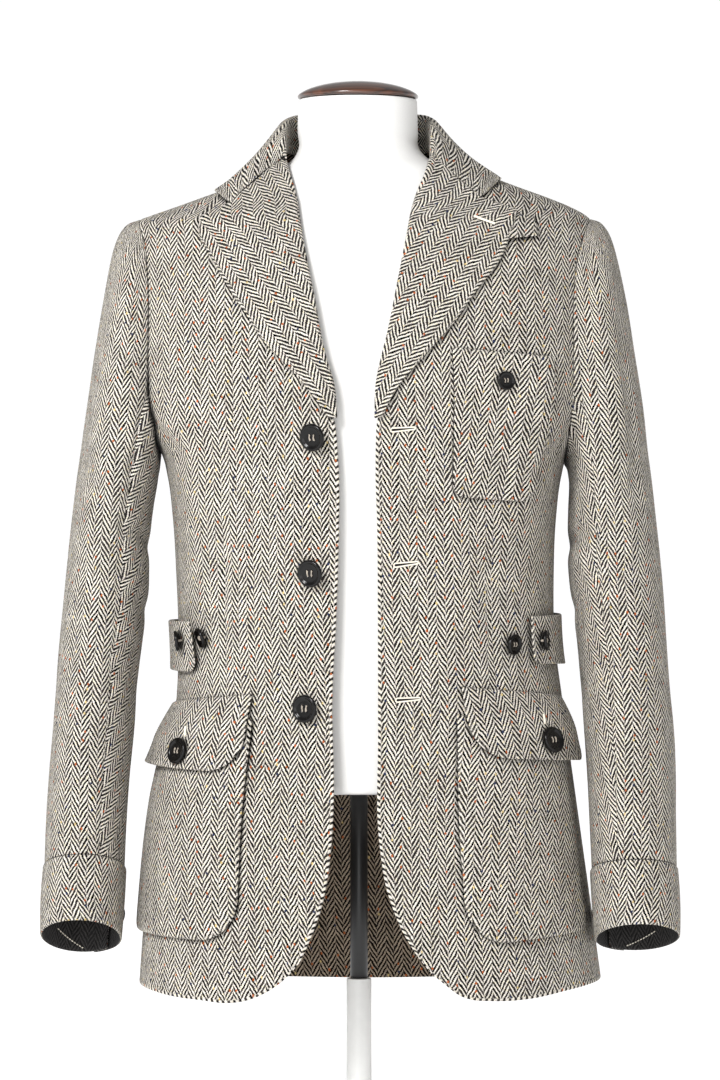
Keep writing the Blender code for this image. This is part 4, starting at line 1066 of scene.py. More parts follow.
# %% [markdown]
# ## Horn buttons
# Coat buttons are turned from horn: a disc with a raised rim, a sunk face and four holes. Each is made as
# rings of points round its axis, so the holes can be pressed into the face as small dimples. The threads are
# separate small pieces that cross the holes. Some buttons hang loose on their thread and lean over.

# %% The buttons
FRONT_BUTTON, SMALL_BUTTON, POCKET_BUTTON, TAB_BUTTON = 25, 17, 24, 19
BUTTON_GAP = 0.3
BUTTON_THICK = 0.17
# shares of its radius and of its thickness, from the underside over the rim to the sunk face
BUTTON_PROFILE = [(0.2, 0), (0.82, 0), (0.93, 0.14), (0.99, 0.34), (1, 0.52), (0.985, 0.76), (0.95, 0.92),
                  (0.9, 0.99), (0.86, 1), (0.8, 0.97), (0.74, 0.84), (0.68, 0.7), (0.62, 0.66), (0.52, 0.65),
                  (0.44, 0.65), (0.38, 0.65), (0.33, 0.65), (0.28, 0.65), (0.23, 0.65), (0.18, 0.65),
                  (0.12, 0.65), (0.05, 0.65)]
SUNK = 0.65
HOLE_AT, HOLE_WIDE, HOLE_DEEP = 0.19, 0.085, 0.9
# which holes each strand joins, in steps from the button's middle
THREADS = (((-1, -1.1), (-0.8, 1)), ((-0.7, -1), (-1.1, 1.1)), ((1, -1), (0.8, 1.1)), ((0.7, -1.1), (1.1, 1)))
# diameter, x and height, the patch that carries it, and how far it leans on its thread, sideways and up
BUTTONS = {
    "button_front_top": (FRONT_BUTTON, -40.2, 633, None, -0.55, -0.1),
    "button_front_middle": (FRONT_BUTTON, -42.1, 511.4, None, -0.55, -0.12),
    "button_front_bottom": (FRONT_BUTTON, -46.5, 390, None, -0.42, -0.08),
    "button_chest": (SMALL_BUTTON, 129.5, 683.6, "pocket_chest", 0.12, 0.04),
    "button_flap_right": (POCKET_BUTTON, -153, 348, "flap_right", 0, 0),
    "button_flap_left": (POCKET_BUTTON, 164, 358.9, "flap_left", 0, 0.12),
    "button_tab_right": (TAB_BUTTON, -152.4, 450, "tab_right", -0.47, 0),
    "button_tab_left": (TAB_BUTTON, 158.6, 449.3, "tab_left", 0.55, 0),
    "button_waist_right": (TAB_BUTTON, -139, 453, None, -0.5, -0.35),
    "button_waist_left": (TAB_BUTTON, 137, 447, None, 0.3, -0.15),
}
LEAN_SHARE = 0.7
SHANK = 1.1
CUFF_BUTTON_TURN = 222
CUFF_BUTTON_AT = 0.55
CUFF_BUTTON_RISE = 0.6
small_pieces = {}


def ringed(name, rings, looped=False):
    """A surface through rings of points, with a flat face at each end, or with its ends joined."""
    rings = np.array(rings, float)
    ids = np.arange(rings.shape[0] * rings.shape[1]).reshape(rings.shape[:2])
    here, there = (ids, np.roll(ids, -1, axis=0)) if looped else (ids[:-1], ids[1:])
    quads = np.stack([here, np.roll(here, -1, axis=1), np.roll(there, -1, axis=1), there], -1).reshape(-1, 4)
    ends, corner = ((), CLOTH_CORNER) if looped else ((ids[0][::-1], ids[-1]), TURNED_CORNER)
    return make_mesh(name, rings.reshape(-1, 3), quads, ends, corner)


def thread(name, path, radius, sides=8, looped=False):
    """A round cord along a path of points, kept among the small pieces."""
    path = np.array(path, float)
    ahead = np.roll(path, -1, axis=0) - np.roll(path, 1, axis=0) if looped else np.gradient(path, axis=0)
    ahead /= np.linalg.norm(ahead, axis=1, keepdims=True)
    a = np.cross(ahead, (0.31, 0.22, 0.93))
    a /= np.linalg.norm(a, axis=1, keepdims=True)
    b = np.cross(ahead, a)
    turn = np.radians(np.arange(sides) * 360 / sides)[:, None]
    rings = [p + r * (np.cos(turn) * u + np.sin(turn) * v)
             for p, u, v, r in zip(path, a, b, np.broadcast_to(radius, len(path)))]
    small_pieces[name] = ringed(name, rings, looped)


def sideways(out):
    """Two directions across the way a button faces: sideways and upwards."""
    side = np.cross((0, 0, 1.0), out)
    side /= np.linalg.norm(side)
    return side, np.cross(out, side)


def make_button(name, diameter, seat, out):
    """The horn disc and the thread that crosses its holes."""
    radius, thick = diameter / 2, diameter * BUTTON_THICK
    side, rise = sideways(out)
    angle = np.radians(np.arange(0, 360, 6))
    hole = radius * HOLE_AT
    rings = []
    for wide, high in BUTTON_PROFILE:
        a, b = radius * wide * np.cos(angle), radius * wide * np.sin(angle)
        height = np.full_like(a, BUTTON_GAP + thick * high)
        if high == SUNK:
            near = np.hypot(np.abs(a) - hole, np.abs(b) - hole)
            height -= HOLE_DEEP * np.exp(-((near / (radius * HOLE_WIDE)) ** 4))
        rings.append(seat + a[:, None] * side + b[:, None] * rise + height[:, None] * out)
    pieces[name] = ringed(name + "_horn", rings)
    face = seat + out * (BUTTON_GAP + thick * SUNK - 0.3)
    rng = np.random.default_rng(len(small_pieces))
    for k, ends in enumerate(THREADS, 1):
        (ax, ay), (bx, by) = (np.array(end) * hole + rng.uniform(-0.3, 0.3, 2) for end in ends)
        bow, wide = rng.uniform(0.5, 1.1), radius * rng.uniform(0.03, 0.045)
        path = [face + side * mix(ax, bx, t) + rise * mix(ay, by, t) + out * bow * math.sin(math.pi * t)
                for t in np.linspace(0, 1, 9)]
        thread(f"{name}_thread_{k}", path, wide)


def on_patch(patch, x, z):
    """A point on the outer side of the panel, or of the patch that lies on it there, and the way it faces."""
    turn = turn_at(x, z)
    foot, out = on_body(z, turn), outward(z, turn)
    if patch is None:
        return foot, out
    gaps = patch_sides[patch] - foot
    high = gaps @ out
    close = np.exp(-((np.linalg.norm(gaps - high[..., None] * out, axis=-1) / 2.0) ** 2))
    faces = grid_normals(patch_sides[patch])
    faces = faces * np.sign(faces @ out)[..., None]
    face = (faces * close[..., None]).sum((0, 1))
    return foot + out * float((high * close).sum() / close.sum()), face / np.linalg.norm(face)


def leaning_seat(x, z, diameter, patch, across, up):
    """Seat and facing of a button: the highest points under it carry it, and it leans over on its thread."""
    centre, out = on_patch(patch, x, z)
    reach = diameter / 2 * 0.86
    spots = [on_patch(patch, x + reach * math.cos(a), z + reach * math.sin(a))[0]
             for a in np.radians(np.arange(0, 360, 45))]
    side, rise = sideways(out)
    leaning = out + side * across + rise * up
    leaning /= np.linalg.norm(leaning)
    lift = max(0.0, float(((np.array(spots) - centre) @ out).max()) * 0.8)
    lift += LEAN_SHARE * diameter / 2 * math.sqrt(max(1 - float(leaning @ out) ** 2, 0))
    return centre + out * lift, leaning


for name, (diameter, x, z, patch, across, up) in BUTTONS.items():
    seat, out = leaning_seat(np.float64(x), np.float64(z), diameter, patch, across, up)
    make_button(name, diameter, seat, out)
    if abs(across) > 0.2:
        foot = on_patch(patch, x, z)[0]
        thread(name + "_thread_shank", [foot, mix(foot, seat, 0.5), seat + out], SHANK)
for side, sign in SIGN.items():
    lift = CUFF_PROUD + CUFF_LAP_RISE
    turns = CUFF_BUTTON_TURN + np.array([0.0, -1.0, 1.0])
    here, before, after = oval_ring(cuff_values(side, CUFF_BUTTON_AT), turns, lift)
    out = np.cross(after - before, oval_ring(cuff_values(side, 1), turns, lift)[0] - here) * sign
    out /= np.linalg.norm(out)
    make_button("button_cuff_" + side, SMALL_BUTTON, here + out * CUFF_BUTTON_RISE, out)
print("buttons made:", len(BUTTONS) + 2)

# %% [markdown]
# ## Hand sewing
# A tailored buttonhole is a slit with a cord of silk worked round it. The left front carries three that stand
# a little open, each a raised loop of cord round a slit that is filled with a dark cord of painted shade. The
# flaps and the lapel carry closed ones, which show as one short bar of thread.

# %% Buttonholes
# x, height, length and tilt of each, how high it lies, and the patch that carries it
HOLES = {
    "buttonhole_top": (39.3, 640, 22, 5, 0, None),
    "buttonhole_middle": (42.1, 519.5, 22, 7, 0, None),
    "buttonhole_bottom": (43.8, 398.5, 22, 4, 0, None),
    "buttonhole_flap_right": (-147.6, 366.5, 12, 90, 0.2, "flap_right"),
    "buttonhole_flap_left": (159, 378.5, 11, 90, 0.2, "flap_left"),
    "buttonhole_lapel": (112.5, 827, 22, -19, 6.0, None),
}
CORD, BAR = 0.7, 1.15
SLIT_WIDE, SLIT_NARROW = 1.0, 0.35
HALF_OPEN, HALF_SHUT = 1.75, 1.0
POINTS = 15


def sewn(flat, x, z, tilt, patch, rise):
    """Points of a flat drawing laid on the cloth at this x and height, turned by the tilt."""
    c, s = math.cos(math.radians(tilt)), math.sin(math.radians(tilt))
    spots = [on_patch(patch, x + a * c - b * s, z + a * s + b * c) for a, b in flat]
    return [spot + out * r for (spot, out), r in zip(spots, np.broadcast_to(rise, len(flat)))]


def buttonhole(name, x, z, length, tilt, lift, patch):
    """A closed one is a bar of thread; an open one is a looped cord round a slit that narrows to one end."""
    half = length / 2
    line = np.stack([np.linspace(1.2 - half, half - 1.2, POINTS), np.zeros(POINTS)], -1)
    if "lapel" in name or patch:
        beat = 0.2 * np.cos(np.arange(POINTS) * math.pi)
        thread(name, sewn(line, x, z, tilt, patch, lift + 0.5 + beat), BAR)
        return
    run = np.linspace(HALF_OPEN - half, half - HALF_SHUT, 12)
    wide = np.linspace(HALF_OPEN, HALF_SHUT, 12)
    bend = np.radians(np.arange(-67.5, 68, 22.5))
    right = np.stack([half - HALF_SHUT + np.cos(bend), np.sin(bend)], -1)
    left = np.stack([HALF_OPEN - half - HALF_OPEN * np.cos(bend), -HALF_OPEN * np.sin(bend)], -1)
    loop = np.concatenate([right, np.stack([run, wide], -1)[::-1], left, np.stack([run, -wide], -1)])
    beat = 0.12 * np.cos(np.arange(len(loop)) * math.pi)
    thread(name, sewn(loop, x, z, tilt, patch, lift + 0.3 + beat), CORD, looped=True)
    # painted shade: a near-black cord fills the open slit, where the gap would be in shade
    slit = np.linspace(SLIT_WIDE, SLIT_NARROW, POINTS)
    thread(name + "_slit", sewn(line, x, z, tilt, patch, lift + 0.15), slit)


for name, values in HOLES.items():
    buttonhole(name, *values)
print("buttonholes made:", len(HOLES))

# %% Stitches inside the cuffs, and a bar tack
# turn round the cuff and share down it, at both ends of the lap's stitched edge
CUFF_STITCHES = {"right": (314, 0.74, 270, 0.96), "left": (258, 0.95, 303, 0.76)}
STITCH_COUNT, STITCH_RADIUS = 11, 0.5
TACK_X, TACK_HEIGHTS, TACK_RADIUS = 93.5, (404, 405.5, 407, 408.5, 410), 1.4
for side, (turn_a, share_a, turn_b, share_b) in CUFF_STITCHES.items():
    for k in range(STITCH_COUNT):
        spots = [(k + part) / STITCH_COUNT for part in (0.1, 0.4, 0.7)]
        path = [oval_ring(cuff_values(side, mix(share_a, share_b, t)), np.array([mix(turn_a, turn_b, t)]),
                          CUFF_PROUD - CUFF_THICK - 0.15)[0] for t in spots]
        thread(f"cuff_{side}_thread_{k + 1}", path, STITCH_RADIUS)
# the tack's slit is a short near-black bar in the same painted shade as the buttonhole slits
tack = sewn([(0, z) for z in TACK_HEIGHTS], TACK_X, 0, 0, None, 0.3)
thread("flap_left_tack_slit", tack, TACK_RADIUS)
print("stitches in each cuff:", STITCH_COUNT)

# %% [markdown]
# ## The dress form and its stand
# The form is a light shell under a stretched white jersey cover, with flat discs where arms would begin. A
# wooden cap closes its neck. It stands on a steel rod in a round, white lacquered base. All of these are
# smooth turned or moulded shapes, so each is drawn through many close rings.

# %% The dress form
#         height, how far the form's surface lies inside the jacket's outer side
FORM_INSET = [(311, 20), (340, 19), (400, 17), (500, 13), (600, 11), (700, 10), (780, 7), (815, 4.4),
              (830, 3.5), (852, 3.3), (862, 2.9), (875, 2.9), (885, 3.6), (893, 4.4), (902, 4.0), (915, 0),
              (946, 0)]
FORM_LOW, FORM_HIGH = 312, 946
FORM_ARM_PLATE = 6
FORM_INSET_AT = curve(FORM_INSET)


def form_ring(z, turn):
    point = on_body(z, turn, -FORM_INSET_AT(z) - 0.6 + 0 * turn, folded=False)
    for side, sign in SIGN.items():
        limit = np.abs(ARMHOLE_X[side](np.clip(z, *ARMHOLE_SPAN[side]))) - FORM_ARM_PLATE
        point[:, 0] = np.where(point[:, 0] * sign > limit, sign * limit, point[:, 0])
    return point


def shrunk(ring, centre, share, z):
    """A ring drawn towards a centre and laid flat at a height."""
    ring = centre + (ring - centre) * share
    ring[:, 2] = z
    return ring


turn = np.linspace(0, 360, 180, endpoint=False)
heights = np.concatenate([[FORM_LOW + 6], np.arange(322, 820, 5.0), np.arange(820, 942, 2.5), [944]])
rings = [form_ring(z, turn) for z in heights]
low = [shrunk(rings[0], 0, share, z)
       for share, z in ((0.3, FORM_LOW), (0.9, FORM_LOW), (0.985, FORM_LOW + 1.6))]
high = [shrunk(rings[-1], rings[-1].mean(0), share, z)
        for share, z in ((0.985, FORM_HIGH - 0.6), (0.3, FORM_HIGH))]
pieces["form_torso"] = ringed("form_torso_cover", low + rings + high)
print("the form:", len(rings), "rings of", len(turn), "points")

# %% The cap, the rod and the base
CAP_BOTTOM, CAP_CENTRE_X = 946.3, -1
CAP_PROFILE = [(20, 0), (52, 0), (53.8, 0.3), (55, 1.0), (55.5, 2.0), (55.3, 3.2), (54.2, 4.4), (52.2, 5.8),
               (49, 7.6), (45, 9.3), (40, 11), (34, 12.6), (26, 14.2), (17, 15.3), (8, 15.75), (2, 15.8)]
BASE_PROFILE = [(40, 0), (158.6, 0), (159.6, 0.6), (160, 1.8), (160, 6.2), (159.4, 8.6), (158, 10.2),
                (155.6, 11), (140, 11.7), (100, 13.3), (60, 15), (42, 17.2), (28, 21), (19.5, 26), (14.5, 32),
                (12.4, 39), (11.5, 46), (11.5, 136.8), (11.1, 137.7), (10.2, 138), (3, 138)]
ROD_PROFILE = [(2, 138.3), (7.4, 138.3), (8, 138.9), (8, 225), (8, 311.1), (7.4, 311.7), (2, 311.7)]


def turned_piece(name, profile, segments, x=0.0, lift=0.0):
    angle = np.radians(np.arange(segments) * 360 / segments)
    return ringed(name, [np.stack([x + r * np.cos(angle), r * np.sin(angle), np.full(segments, lift + z)], -1)
                         for r, z in profile])


pieces["neck_cap"] = turned_piece("neck_cap_wood", CAP_PROFILE, 96, CAP_CENTRE_X, CAP_BOTTOM)
pieces["stand_base"] = turned_piece("stand_base_lacquered", BASE_PROFILE, 128)
pieces["stand_rod"] = turned_piece("stand_rod_steel", ROD_PROFILE, 48)
print("the base:", 2 * max(BASE_PROFILE)[0], "mm across")

# %% [markdown]
# ## A helper for materials
# A material is a small graph: coordinates go in on the left, a pattern is worked out, and a shader turns it
# into light. One function adds a node, sets it up and links its inputs, so a graph reads like a formula.


# %% Colours and nodes
def linear(code):
    """An sRGB hex colour as linear values for a shader."""
    values = [int(code[k:k + 2], 16) / 255 for k in (1, 3, 5)]
    return tuple(v / 12.92 if v <= 0.04045 else ((v + 0.055) / 1.055) ** 2.4 for v in values) + (1.0,)


def add(tree, kind, inputs=None, out=0, **settings):
    """Adds a node with its settings; an input is a value or another node's output. Gives one output."""
    node = tree.nodes.new("ShaderNode" + kind)
    for key, value in settings.items():
        setattr(node, key, value)
    for key, value in (inputs or {}).items():
        if isinstance(value, bpy.types.NodeSocket):
            tree.links.new(value, node.inputs[key])
        else:
            node.inputs[key].default_value = value
    return node.outputs[out] if len(node.outputs) else node


def calc(tree, operation, *values):
    return add(tree, "Math", dict(enumerate(values)), operation=operation)


def ranged(tree, value, low, high, first, last, kind="LINEAR"):
    """Turns a value between two limits into one between two others."""
    return add(tree, "MapRange", {0: value, 1: low, 2: high, 3: first, 4: last}, interpolation_type=kind)


def noise(tree, place, scale, detail, rough=0.5, out=0, **more):
    inputs = {"Vector": place, "Scale": scale, "Detail": detail, "Roughness": rough, **more}
    return add(tree, "TexNoise", inputs, out)


def blend(tree, share, first, second, **settings):
    return add(tree, "Mix", {0: share, 6: first, 7: second}, out=2, data_type="RGBA", **settings)


def shaded(tree, colour, shade):
    """A colour made lighter or darker by a value."""
    tint = add(tree, "CombineColor", {0: shade, 1: shade, 2: shade})
    return blend(tree, 1.0, colour, tint, blend_type="MULTIPLY")


def new_material(name):
    mat = bpy.data.materials.new(name)
    mat.use_nodes = True
    mat.node_tree.nodes.clear()
    return mat, mat.node_tree


def finish_material(tree, shader):
    add(tree, "OutputMaterial", {"Surface": shader})


print("a mid grey of #808080 is", round(linear("#808080")[0], 3), "in linear light")

# %% [markdown]
# ## Herringbone tweed
# Tweed is woven from thick woollen yarn, here off-white and charcoal, in a twill whose diagonal turns back
# every eight millimetres or so. The zigzag repeats every 5.9 mm up the cloth and every 3.7 mm across it. The
# yarn is hairy and uneven, and has small knots of rust, yellow and navy wool spun in. Wool scatters light in
# all directions, so the surface is very rough, with a faint sheen from the loose fibres. Painted shade darkens
# the colour in creases and gaps and under flaps, pockets and lapels.

# %% The tweed
REPEAT_UP, REPEAT_ACROSS = 5.93, 3.68
COLUMN = 7.85
STEPPED = 0.5
WOBBLE = 2.2
LIGHT_FROM, LIGHT_FULL = 0.2, 0.3
LIGHT_YARN = ("#E9DBB8", "#E6E2DA", "#C9BDB4")
DARK_YARN = ("#080707", "#141211", "#2E2A28")
# the wrong side's yarns are darker than the face's, partly for the cloth's own back and partly as painted shade
# on the jacket's inside
WRONG_SIDE_SHADED = (("#B09C86", "#B8A894", "#988A7F"), ("#040303", "#080606", "#100D0B"))
LINING = (("#454443", "#4C4A49", "#3C3B3A"), ("#242323", "#282727", "#2E2D2D"))
FLECKS = ((0.0, "#AE5C30"), (0.56, "#CDB67C"), (0.76, "#2C3552"))
FLECK_CELL, FLECK_WIDE, NO_FLECKS = 8.0, 0.13, 1.1
ROPE_TWIST, RIM_WIDE = 5.6, 2.0
# how far the painted shade in creases and gaps reaches, in millimetres
CREVICE_SHADE_REACH = 7.0


def weave_pattern(tree):
    """How light the yarn is, 0 to 1, with the coordinates in millimetres and a number for each stroke."""
    place = add(tree, "UVMap", uv_map="weave")
    wobble = noise(tree, place, 0.16, 2.0, out="Color")
    wobble = add(tree, "VectorMath", {0: wobble, 1: (0.5, 0.5, 0.5)}, operation="SUBTRACT")
    wobble = add(tree, "VectorMath", {0: wobble, "Scale": WOBBLE}, operation="SCALE")
    place = add(tree, "VectorMath", {0: place, 1: wobble}, operation="ADD")
    flat = []
    for axis, repeat in (("X", REPEAT_ACROSS), ("Y", REPEAT_UP)):
        even = add(tree, "SeparateXYZ", {0: place}, out=axis)
        flat.append(add(tree, "Mix", {0: STEPPED, 2: even, 3: calc(tree, "SNAP", even, repeat / 4)},
                        data_type="FLOAT"))
    u, v = flat
    column = calc(tree, "FLOOR", calc(tree, "MULTIPLY", u, 1 / COLUMN))
    odd = calc(tree, "PINGPONG", column, 1.0)
    zigzag = calc(tree, "MULTIPLY", calc(tree, "PINGPONG", u, COLUMN), 1 / REPEAT_ACROSS)
    phase = calc(tree, "MULTIPLY_ADD", v, 1 / REPEAT_UP, zigzag)
    phase = calc(tree, "MULTIPLY_ADD", odd, 0.5, phase)
    number = add(tree, "CombineXYZ", {0: calc(tree, "ROUND", phase), 1: column})
    stroke = add(tree, "TexWhiteNoise", {"Vector": number}, noise_dimensions="2D")
    hair = calc(tree, "MULTIPLY_ADD", noise(tree, place, 0.85, 3.0, 0.75), 0.5, -0.25)
    stripe = calc(tree, "ADD", calc(tree, "PINGPONG", phase, 0.5), hair)
    stripe = calc(tree, "MULTIPLY_ADD", stroke, -0.07, stripe)
    return ranged(tree, stripe, LIGHT_FROM, LIGHT_FULL, 0.0, 1.0, "SMOOTHSTEP"), place, stroke


def three_yarns(tree, at, low, middle, high):
    """A colour between three yarns, by a value from 0 to 1."""
    colour = blend(tree, ranged(tree, at, 0.3, 0.5, 0.0, 1.0), linear(low), linear(middle))
    return blend(tree, ranged(tree, at, 0.5, 0.68, 0.0, 1.0), colour, linear(high))


def flecked(tree, colour, place, flecks_from):
    """Small knots of coloured wool, in those cells whose chance is over a limit."""
    skewed = add(tree, "VectorMath", {0: place, 1: (1.0, 0.72, 1.0)}, operation="MULTIPLY")
    cell = {"Vector": skewed, "Scale": 1 / FLECK_CELL, "Randomness": 1.0}
    spot = add(tree, "TexVoronoi", cell, out="Distance", voronoi_dimensions="2D")
    chance = add(tree, "TexVoronoi", cell, out="Color", voronoi_dimensions="2D")
    chosen = calc(tree, "GREATER_THAN", add(tree, "SeparateColor", {0: chance}, out="Red"), flecks_from)
    spot = calc(tree, "MULTIPLY", ranged(tree, spot, FLECK_WIDE - 0.04, FLECK_WIDE, 1.0, 0.0), chosen)
    ramp = tree.nodes.new("ShaderNodeValToRGB")
    ramp.color_ramp.interpolation = "CONSTANT"
    for k, (at, code) in enumerate(FLECKS):
        stop = ramp.color_ramp.elements[k] if k < 2 else ramp.color_ramp.elements.new(at)
        stop.position = at
        stop.color = linear(code)
    tree.links.new(add(tree, "SeparateColor", {0: chance}, out="Green"), ramp.inputs[0])
    return blend(tree, spot, colour, ramp.outputs[0])


def tweed(name, light, dark, roped=0.1, groove_deep=0.8, rim_deep=0.3, flecks_from=0.64):
    """roped is how far the edge's whipped yarn covers the weave; the depths are of stitch line and rim."""
    mat, tree = new_material(name)
    stripe, place, stroke = weave_pattern(tree)
    gap, along = (add(tree, "SeparateXYZ", {0: add(tree, "UVMap", uv_map="edge")}, out=axis) for axis in "XY")
    rope = calc(tree, "MULTIPLY_ADD", along, 1 / ROPE_TWIST, calc(tree, "MULTIPLY", gap, -0.1))
    rope = ranged(tree, calc(tree, "PINGPONG", rope, 0.5), 0.17, 0.28, 0.0, 1.0, "SMOOTHSTEP")
    on_rim = ranged(tree, gap, RIM_WIDE, RIM_WIDE + 1.6, roped, 0.0, "SMOOTHSTEP")
    stripe = add(tree, "Mix", {0: on_rim, 2: stripe, 3: rope}, data_type="FLOAT")
    light_yarn = three_yarns(tree, noise(tree, place, 0.45, 2.0, 0.6), *light)
    colour = blend(tree, stripe, three_yarns(tree, stroke, *dark), light_yarn)
    colour = flecked(tree, colour, place, flecks_from)
    # painted shade: ambient occlusion darkens the colour wherever other cloth lies within 7 mm, in creases and
    # gaps and under flaps, pockets and lapels
    painted_crevice_shade = add(tree, "AmbientOcclusion", {"Distance": CREVICE_SHADE_REACH * MM}, out="AO", samples=8)
    shade = ranged(tree, noise(tree, place, 0.045, 5.0, 0.7), 0.28, 0.72, 0.78, 1.1)
    shade = calc(tree, "MULTIPLY", shade, ranged(tree, painted_crevice_shade, 0.42, 0.84, 0.1, 1.0))
    mottle = ranged(tree, noise(tree, place, 0.3, 3.0, 0.7), 0.3, 0.7, 0.82, 1.13)
    colour = shaded(tree, colour, calc(tree, "MULTIPLY", shade, mottle))
    off = calc(tree, "ABSOLUTE", calc(tree, "SUBTRACT", gap, STITCH_GAP))
    groove = ranged(tree, off, 0.0, 1.3, -groove_deep, 0.0, "SMOOTHSTEP")
    height = calc(tree, "MULTIPLY_ADD", stripe, 0.8, groove)
    height = calc(tree, "MULTIPLY_ADD", noise(tree, place, 1.7, 3.0, 0.7), 1.2, height)
    rim = ranged(tree, gap, RIM_WIDE - 1.2, RIM_WIDE + 1.5, rim_deep, 0.0)
    height = calc(tree, "MULTIPLY_ADD", rope, rim, height)
    bump = add(tree, "Bump", {"Strength": 0.7, "Distance": 0.0006, "Height": height})
    finish_material(tree, add(tree, "BsdfPrincipled", {
        "Base Color": colour, "Roughness": 0.95, "IOR": 1.45, "Specular IOR Level": 0.06, "Sheen Weight": 0.05,
        "Sheen Roughness": 0.5, "Normal": bump}))
    return mat


TWEED = tweed("herringbone_tweed_face", LIGHT_YARN, DARK_YARN)
TWEED_FRONT = tweed("herringbone_tweed_rolled_edge", LIGHT_YARN, DARK_YARN, 0.95, 1.4, 2.2)
# the inner faces' tweed: the wrong side, darkened further as painted shade
TWEED_WRONG_SIDE_SHADED = tweed("herringbone_tweed_wrong_side_painted_shade", *WRONG_SIDE_SHADED)
CUFF_LINING = tweed("charcoal_cuff_lining", *LINING, flecks_from=NO_FLECKS)
for name, obj in pieces.items():
    if obj.data.uv_layers.get("weave"):
        obj.data.materials.append(TWEED_FRONT if name.startswith("front") else TWEED)
        obj.data.materials.append(CUFF_LINING if "cuff" in name or "sleeve" in name else TWEED_WRONG_SIDE_SHADED)
print("materials for cloth:", [m.name for m in bpy.data.materials if "tweed" in m.name])

# %% [markdown]
# ## Horn, thread, jersey, wood, steel and lacquer
# Polished horn is dark and glossy with faint cloudy layers. Sewing thread is plain and matt. The form's cover
# is a fine white jersey. The cap is beech, stained brown and varnished, and the base has a smooth white
# lacquer.


# %% The other materials
def plain(name, colour, roughness, noise_scale, change, deep, **extra):
    """A material with faint unevenness: its scale per metre, how much it changes the colour, and its depth."""
    mat, tree = new_material(name)
    cloud = noise(tree, add(tree, "TexCoord", out="Object"), noise_scale, 4.0)
    base = shaded(tree, linear(colour), ranged(tree, cloud, 0.25, 0.75, 1 - change, 1 + change))
    bump = add(tree, "Bump", {"Strength": 0.4, "Distance": deep, "Height": cloud})
    finish_material(tree, add(tree, "BsdfPrincipled", {"Base Color": base, "Roughness": roughness,
                                                       "Normal": bump, **extra}))
    return mat


def turned_wood(name, dark, light):
    """Stained beech under varnish, with streaks of grain that run across the cap."""
    mat, tree = new_material(name)
    place = add(tree, "VectorMath", {0: add(tree, "TexCoord", out="Object"), 1: (14.0, 160.0, 260.0)},
                operation="MULTIPLY")
    grain = noise(tree, place, 1.0, 5.0, 0.65, Distortion=0.6)
    base = blend(tree, ranged(tree, grain, 0.38, 0.66, 0.0, 1.0), linear(dark), linear(light))
    bump = add(tree, "Bump", {"Strength": 0.3, "Distance": 0.0001, "Height": grain})
    finish_material(tree, add(tree, "BsdfPrincipled", {"Base Color": base, "Roughness": 0.3, "Coat Weight": 0.6,
                                                       "Coat Roughness": 0.12, "Normal": bump}))
    return mat


HORN = plain("polished_dark_horn", "#080707", 0.17, 260.0, 0.4, 0.00004, **{"Specular IOR Level": 0.28})
SILK = plain("cream_buttonhole_silk", "#E9E2D2", 0.7, 900.0, 0.15, 0.0002)
BUTTON_THREAD = plain("grey_button_thread", "#A79D90", 0.8, 900.0, 0.15, 0.0002)
# painted shade for the open slits and the tack's slit
SLIT_SHADE = plain("dark_slit_painted_shade", "#12100F", 0.9, 300.0, 0.2, 0.0001)
FINISHES = {
    "form_torso": plain("white_jersey_cover", "#DEDDDB", 0.85, 1400.0, 0.03, 0.00012),
    "neck_cap": turned_wood("varnished_brown_wood", "#23120B", "#5E3826"),
    "stand_rod": plain("satin_black_steel", "#1B1B1C", 0.4, 500.0, 0.1, 0.00003),
    "stand_base": plain("white_lacquer", "#ECECEA", 0.35, 120.0, 0.02, 0.00004),
}
for name, obj in pieces.items():
    if not obj.data.materials:
        obj.data.materials.append(FINISHES.get(name, HORN))
for name, obj in small_pieces.items():
    on_button = "thread" in name and "button" in name
    obj.data.materials.append(SLIT_SHADE if "slit" in name else BUTTON_THREAD if on_button else SILK)
print("materials:", len(bpy.data.materials))

# %% [markdown]
# ## Bodies and the size of each cut
# Every piece rides on the model's one body and hides the CAD solid that it stands for. For each piece of cloth
# the size of its cut, measured along the cloth, is printed with its area and its share of that size.

# %% Bodies and the size of each piece of cloth
LEAST_SHARE = 0.3
for name, obj in pieces.items():
    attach(obj, "root")
    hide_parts(name)
for name, obj in small_pieces.items():
    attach(obj, "root")
for name, obj in pieces.items():
    if not obj.data.uv_layers.get("weave"):
        continue
    flat = np.zeros(len(obj.data.loops) * 2, np.float32)
    obj.data.uv_layers["weave"].data.foreach_get("uv", flat)
    wide, tall = (float(v) for v in np.ptp(flat.reshape(-1, 2), axis=0) * MM)
    areas = np.zeros(len(obj.data.polygons), np.float32)
    obj.data.polygons.foreach_get("area", areas)
    inside = np.zeros(len(obj.data.polygons), np.int32)
    obj.data.polygons.foreach_get("material_index", inside)
    area = float(areas[inside == 0].sum())
    share = min(max(area / (wide * tall), LEAST_SHARE), 1.0)
    print(f"{name}: {wide * 1000:.0f} x {tall * 1000:.0f} mm, area {area * 1e4:.0f} cm2, share {share:.2f}")
print("pieces:", len(pieces), "small pieces:", len(small_pieces))

# %% [markdown]
# ## Floor, light and camera
# The picture is a plain studio shot: white all round, soft even light from the front and a long lens at the
# height of the jacket's middle. The floor is a wide pale disc that fades into the white of the surroundings.

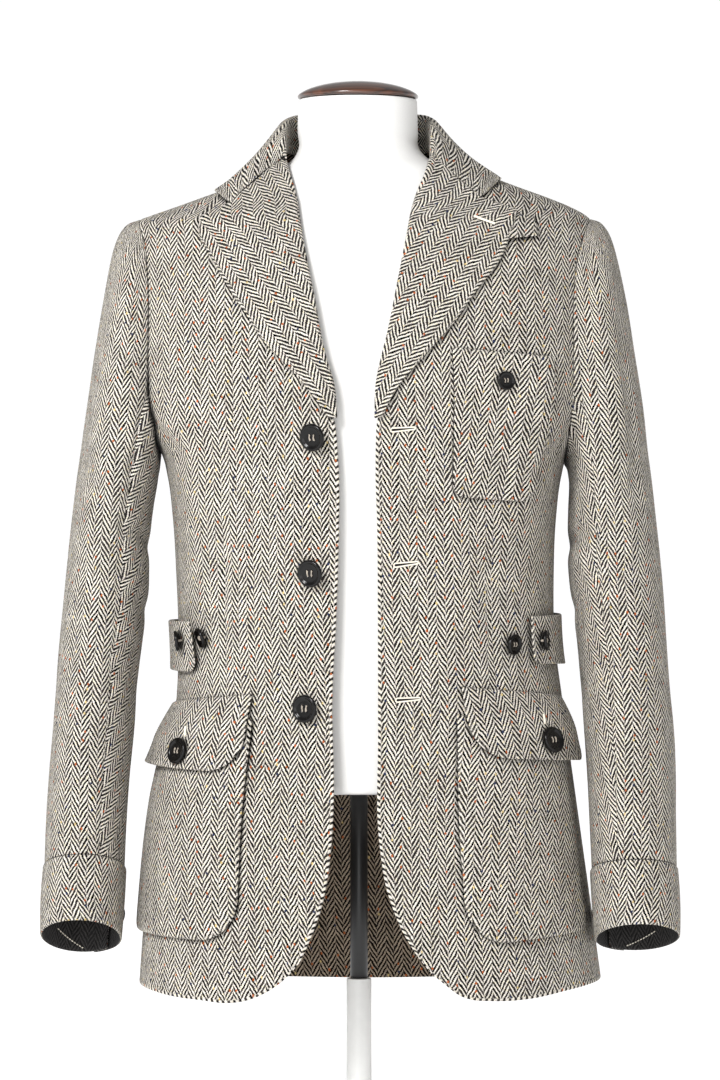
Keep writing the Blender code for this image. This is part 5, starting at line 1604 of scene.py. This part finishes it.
# %% Floor
FLOOR_RADIUS = 12
floor_mat, tree = new_material("pale_studio_floor")
diffuse = add(tree, "BsdfDiffuse", {"Color": linear("#E6E6E6")})
glow = add(tree, "Emission", {"Color": (1, 1, 1, 1), "Strength": 0.72})
finish_material(tree, add(tree, "AddShader", {0: diffuse, 1: glow}))
circle = np.radians(np.arange(0, 360, 3.0))
floor_mesh = bpy.data.meshes.new("studio_floor")
floor_mesh.from_pydata([(FLOOR_RADIUS * math.cos(a), FLOOR_RADIUS * math.sin(a), 0.0) for a in circle], [],
                       [tuple(range(len(circle)))])
floor_mesh.materials.append(floor_mat)
floor = bpy.data.objects.new("studio_floor", floor_mesh)
bpy.context.scene.collection.objects.link(floor)

# %% Light
world = bpy.data.worlds.new("white_studio")
world.use_nodes = True
tree = world.node_tree
tree.nodes.clear()
height = add(tree, "SeparateXYZ", {0: add(tree, "TexCoord", out="Generated")}, out="Z")
band = ranged(tree, height, 0.14, 0.42, 1.02, 0.36, "SMOOTHSTEP")
sky = add(tree, "Background", {"Color": (1, 1, 1, 1), "Strength": band})
add(tree, "OutputWorld", {"Surface": sky})
bpy.context.scene.world = world


def area_light(name, place, target, size, watts):
    data = bpy.data.lights.new(name, "AREA")
    data.shape = "RECTANGLE"
    data.size, data.size_y = size
    data.energy = watts
    lamp = bpy.data.objects.new(name, data)
    lamp.location = place
    aim = np.array(target) - np.array(place)
    tip = math.atan2(math.hypot(aim[0], aim[1]), -aim[2])
    lamp.rotation_euler = (tip, 0, math.atan2(aim[0], -aim[1]) + math.pi)
    bpy.context.scene.collection.objects.link(lamp)


area_light("key_softbox", (-1.35, -2.5, 2.15), (0, 0, 0.6), (0.9, 0.9), 96)
area_light("front_fill", (-0.7, -4.3, 0.9), (0, 0, 0.55), (2.4, 1.6), 29)

# %% Camera
SCALE, DISTANCE, EYE_HEIGHT = 0.92, 4.2, 0.541
SENSOR, PICTURE_HEIGHT = 36, 1080
camera_data = bpy.data.cameras.new("studio_camera")
camera_data.sensor_fit = "VERTICAL"
camera_data.sensor_height = SENSOR
camera_data.lens = SENSOR * DISTANCE / (PICTURE_HEIGHT * SCALE * MM)
camera_data.shift_x = 1 / PICTURE_HEIGHT
camera = bpy.data.objects.new("studio_camera", camera_data)
camera.location = (0, -DISTANCE, EYE_HEIGHT)
camera.rotation_euler = (math.pi / 2, 0, 0)
bpy.context.scene.collection.objects.link(camera)
bpy.context.scene.camera = camera
bpy.context.scene.view_settings.view_transform = "Standard"
print("lens:", round(camera_data.lens), "mm")
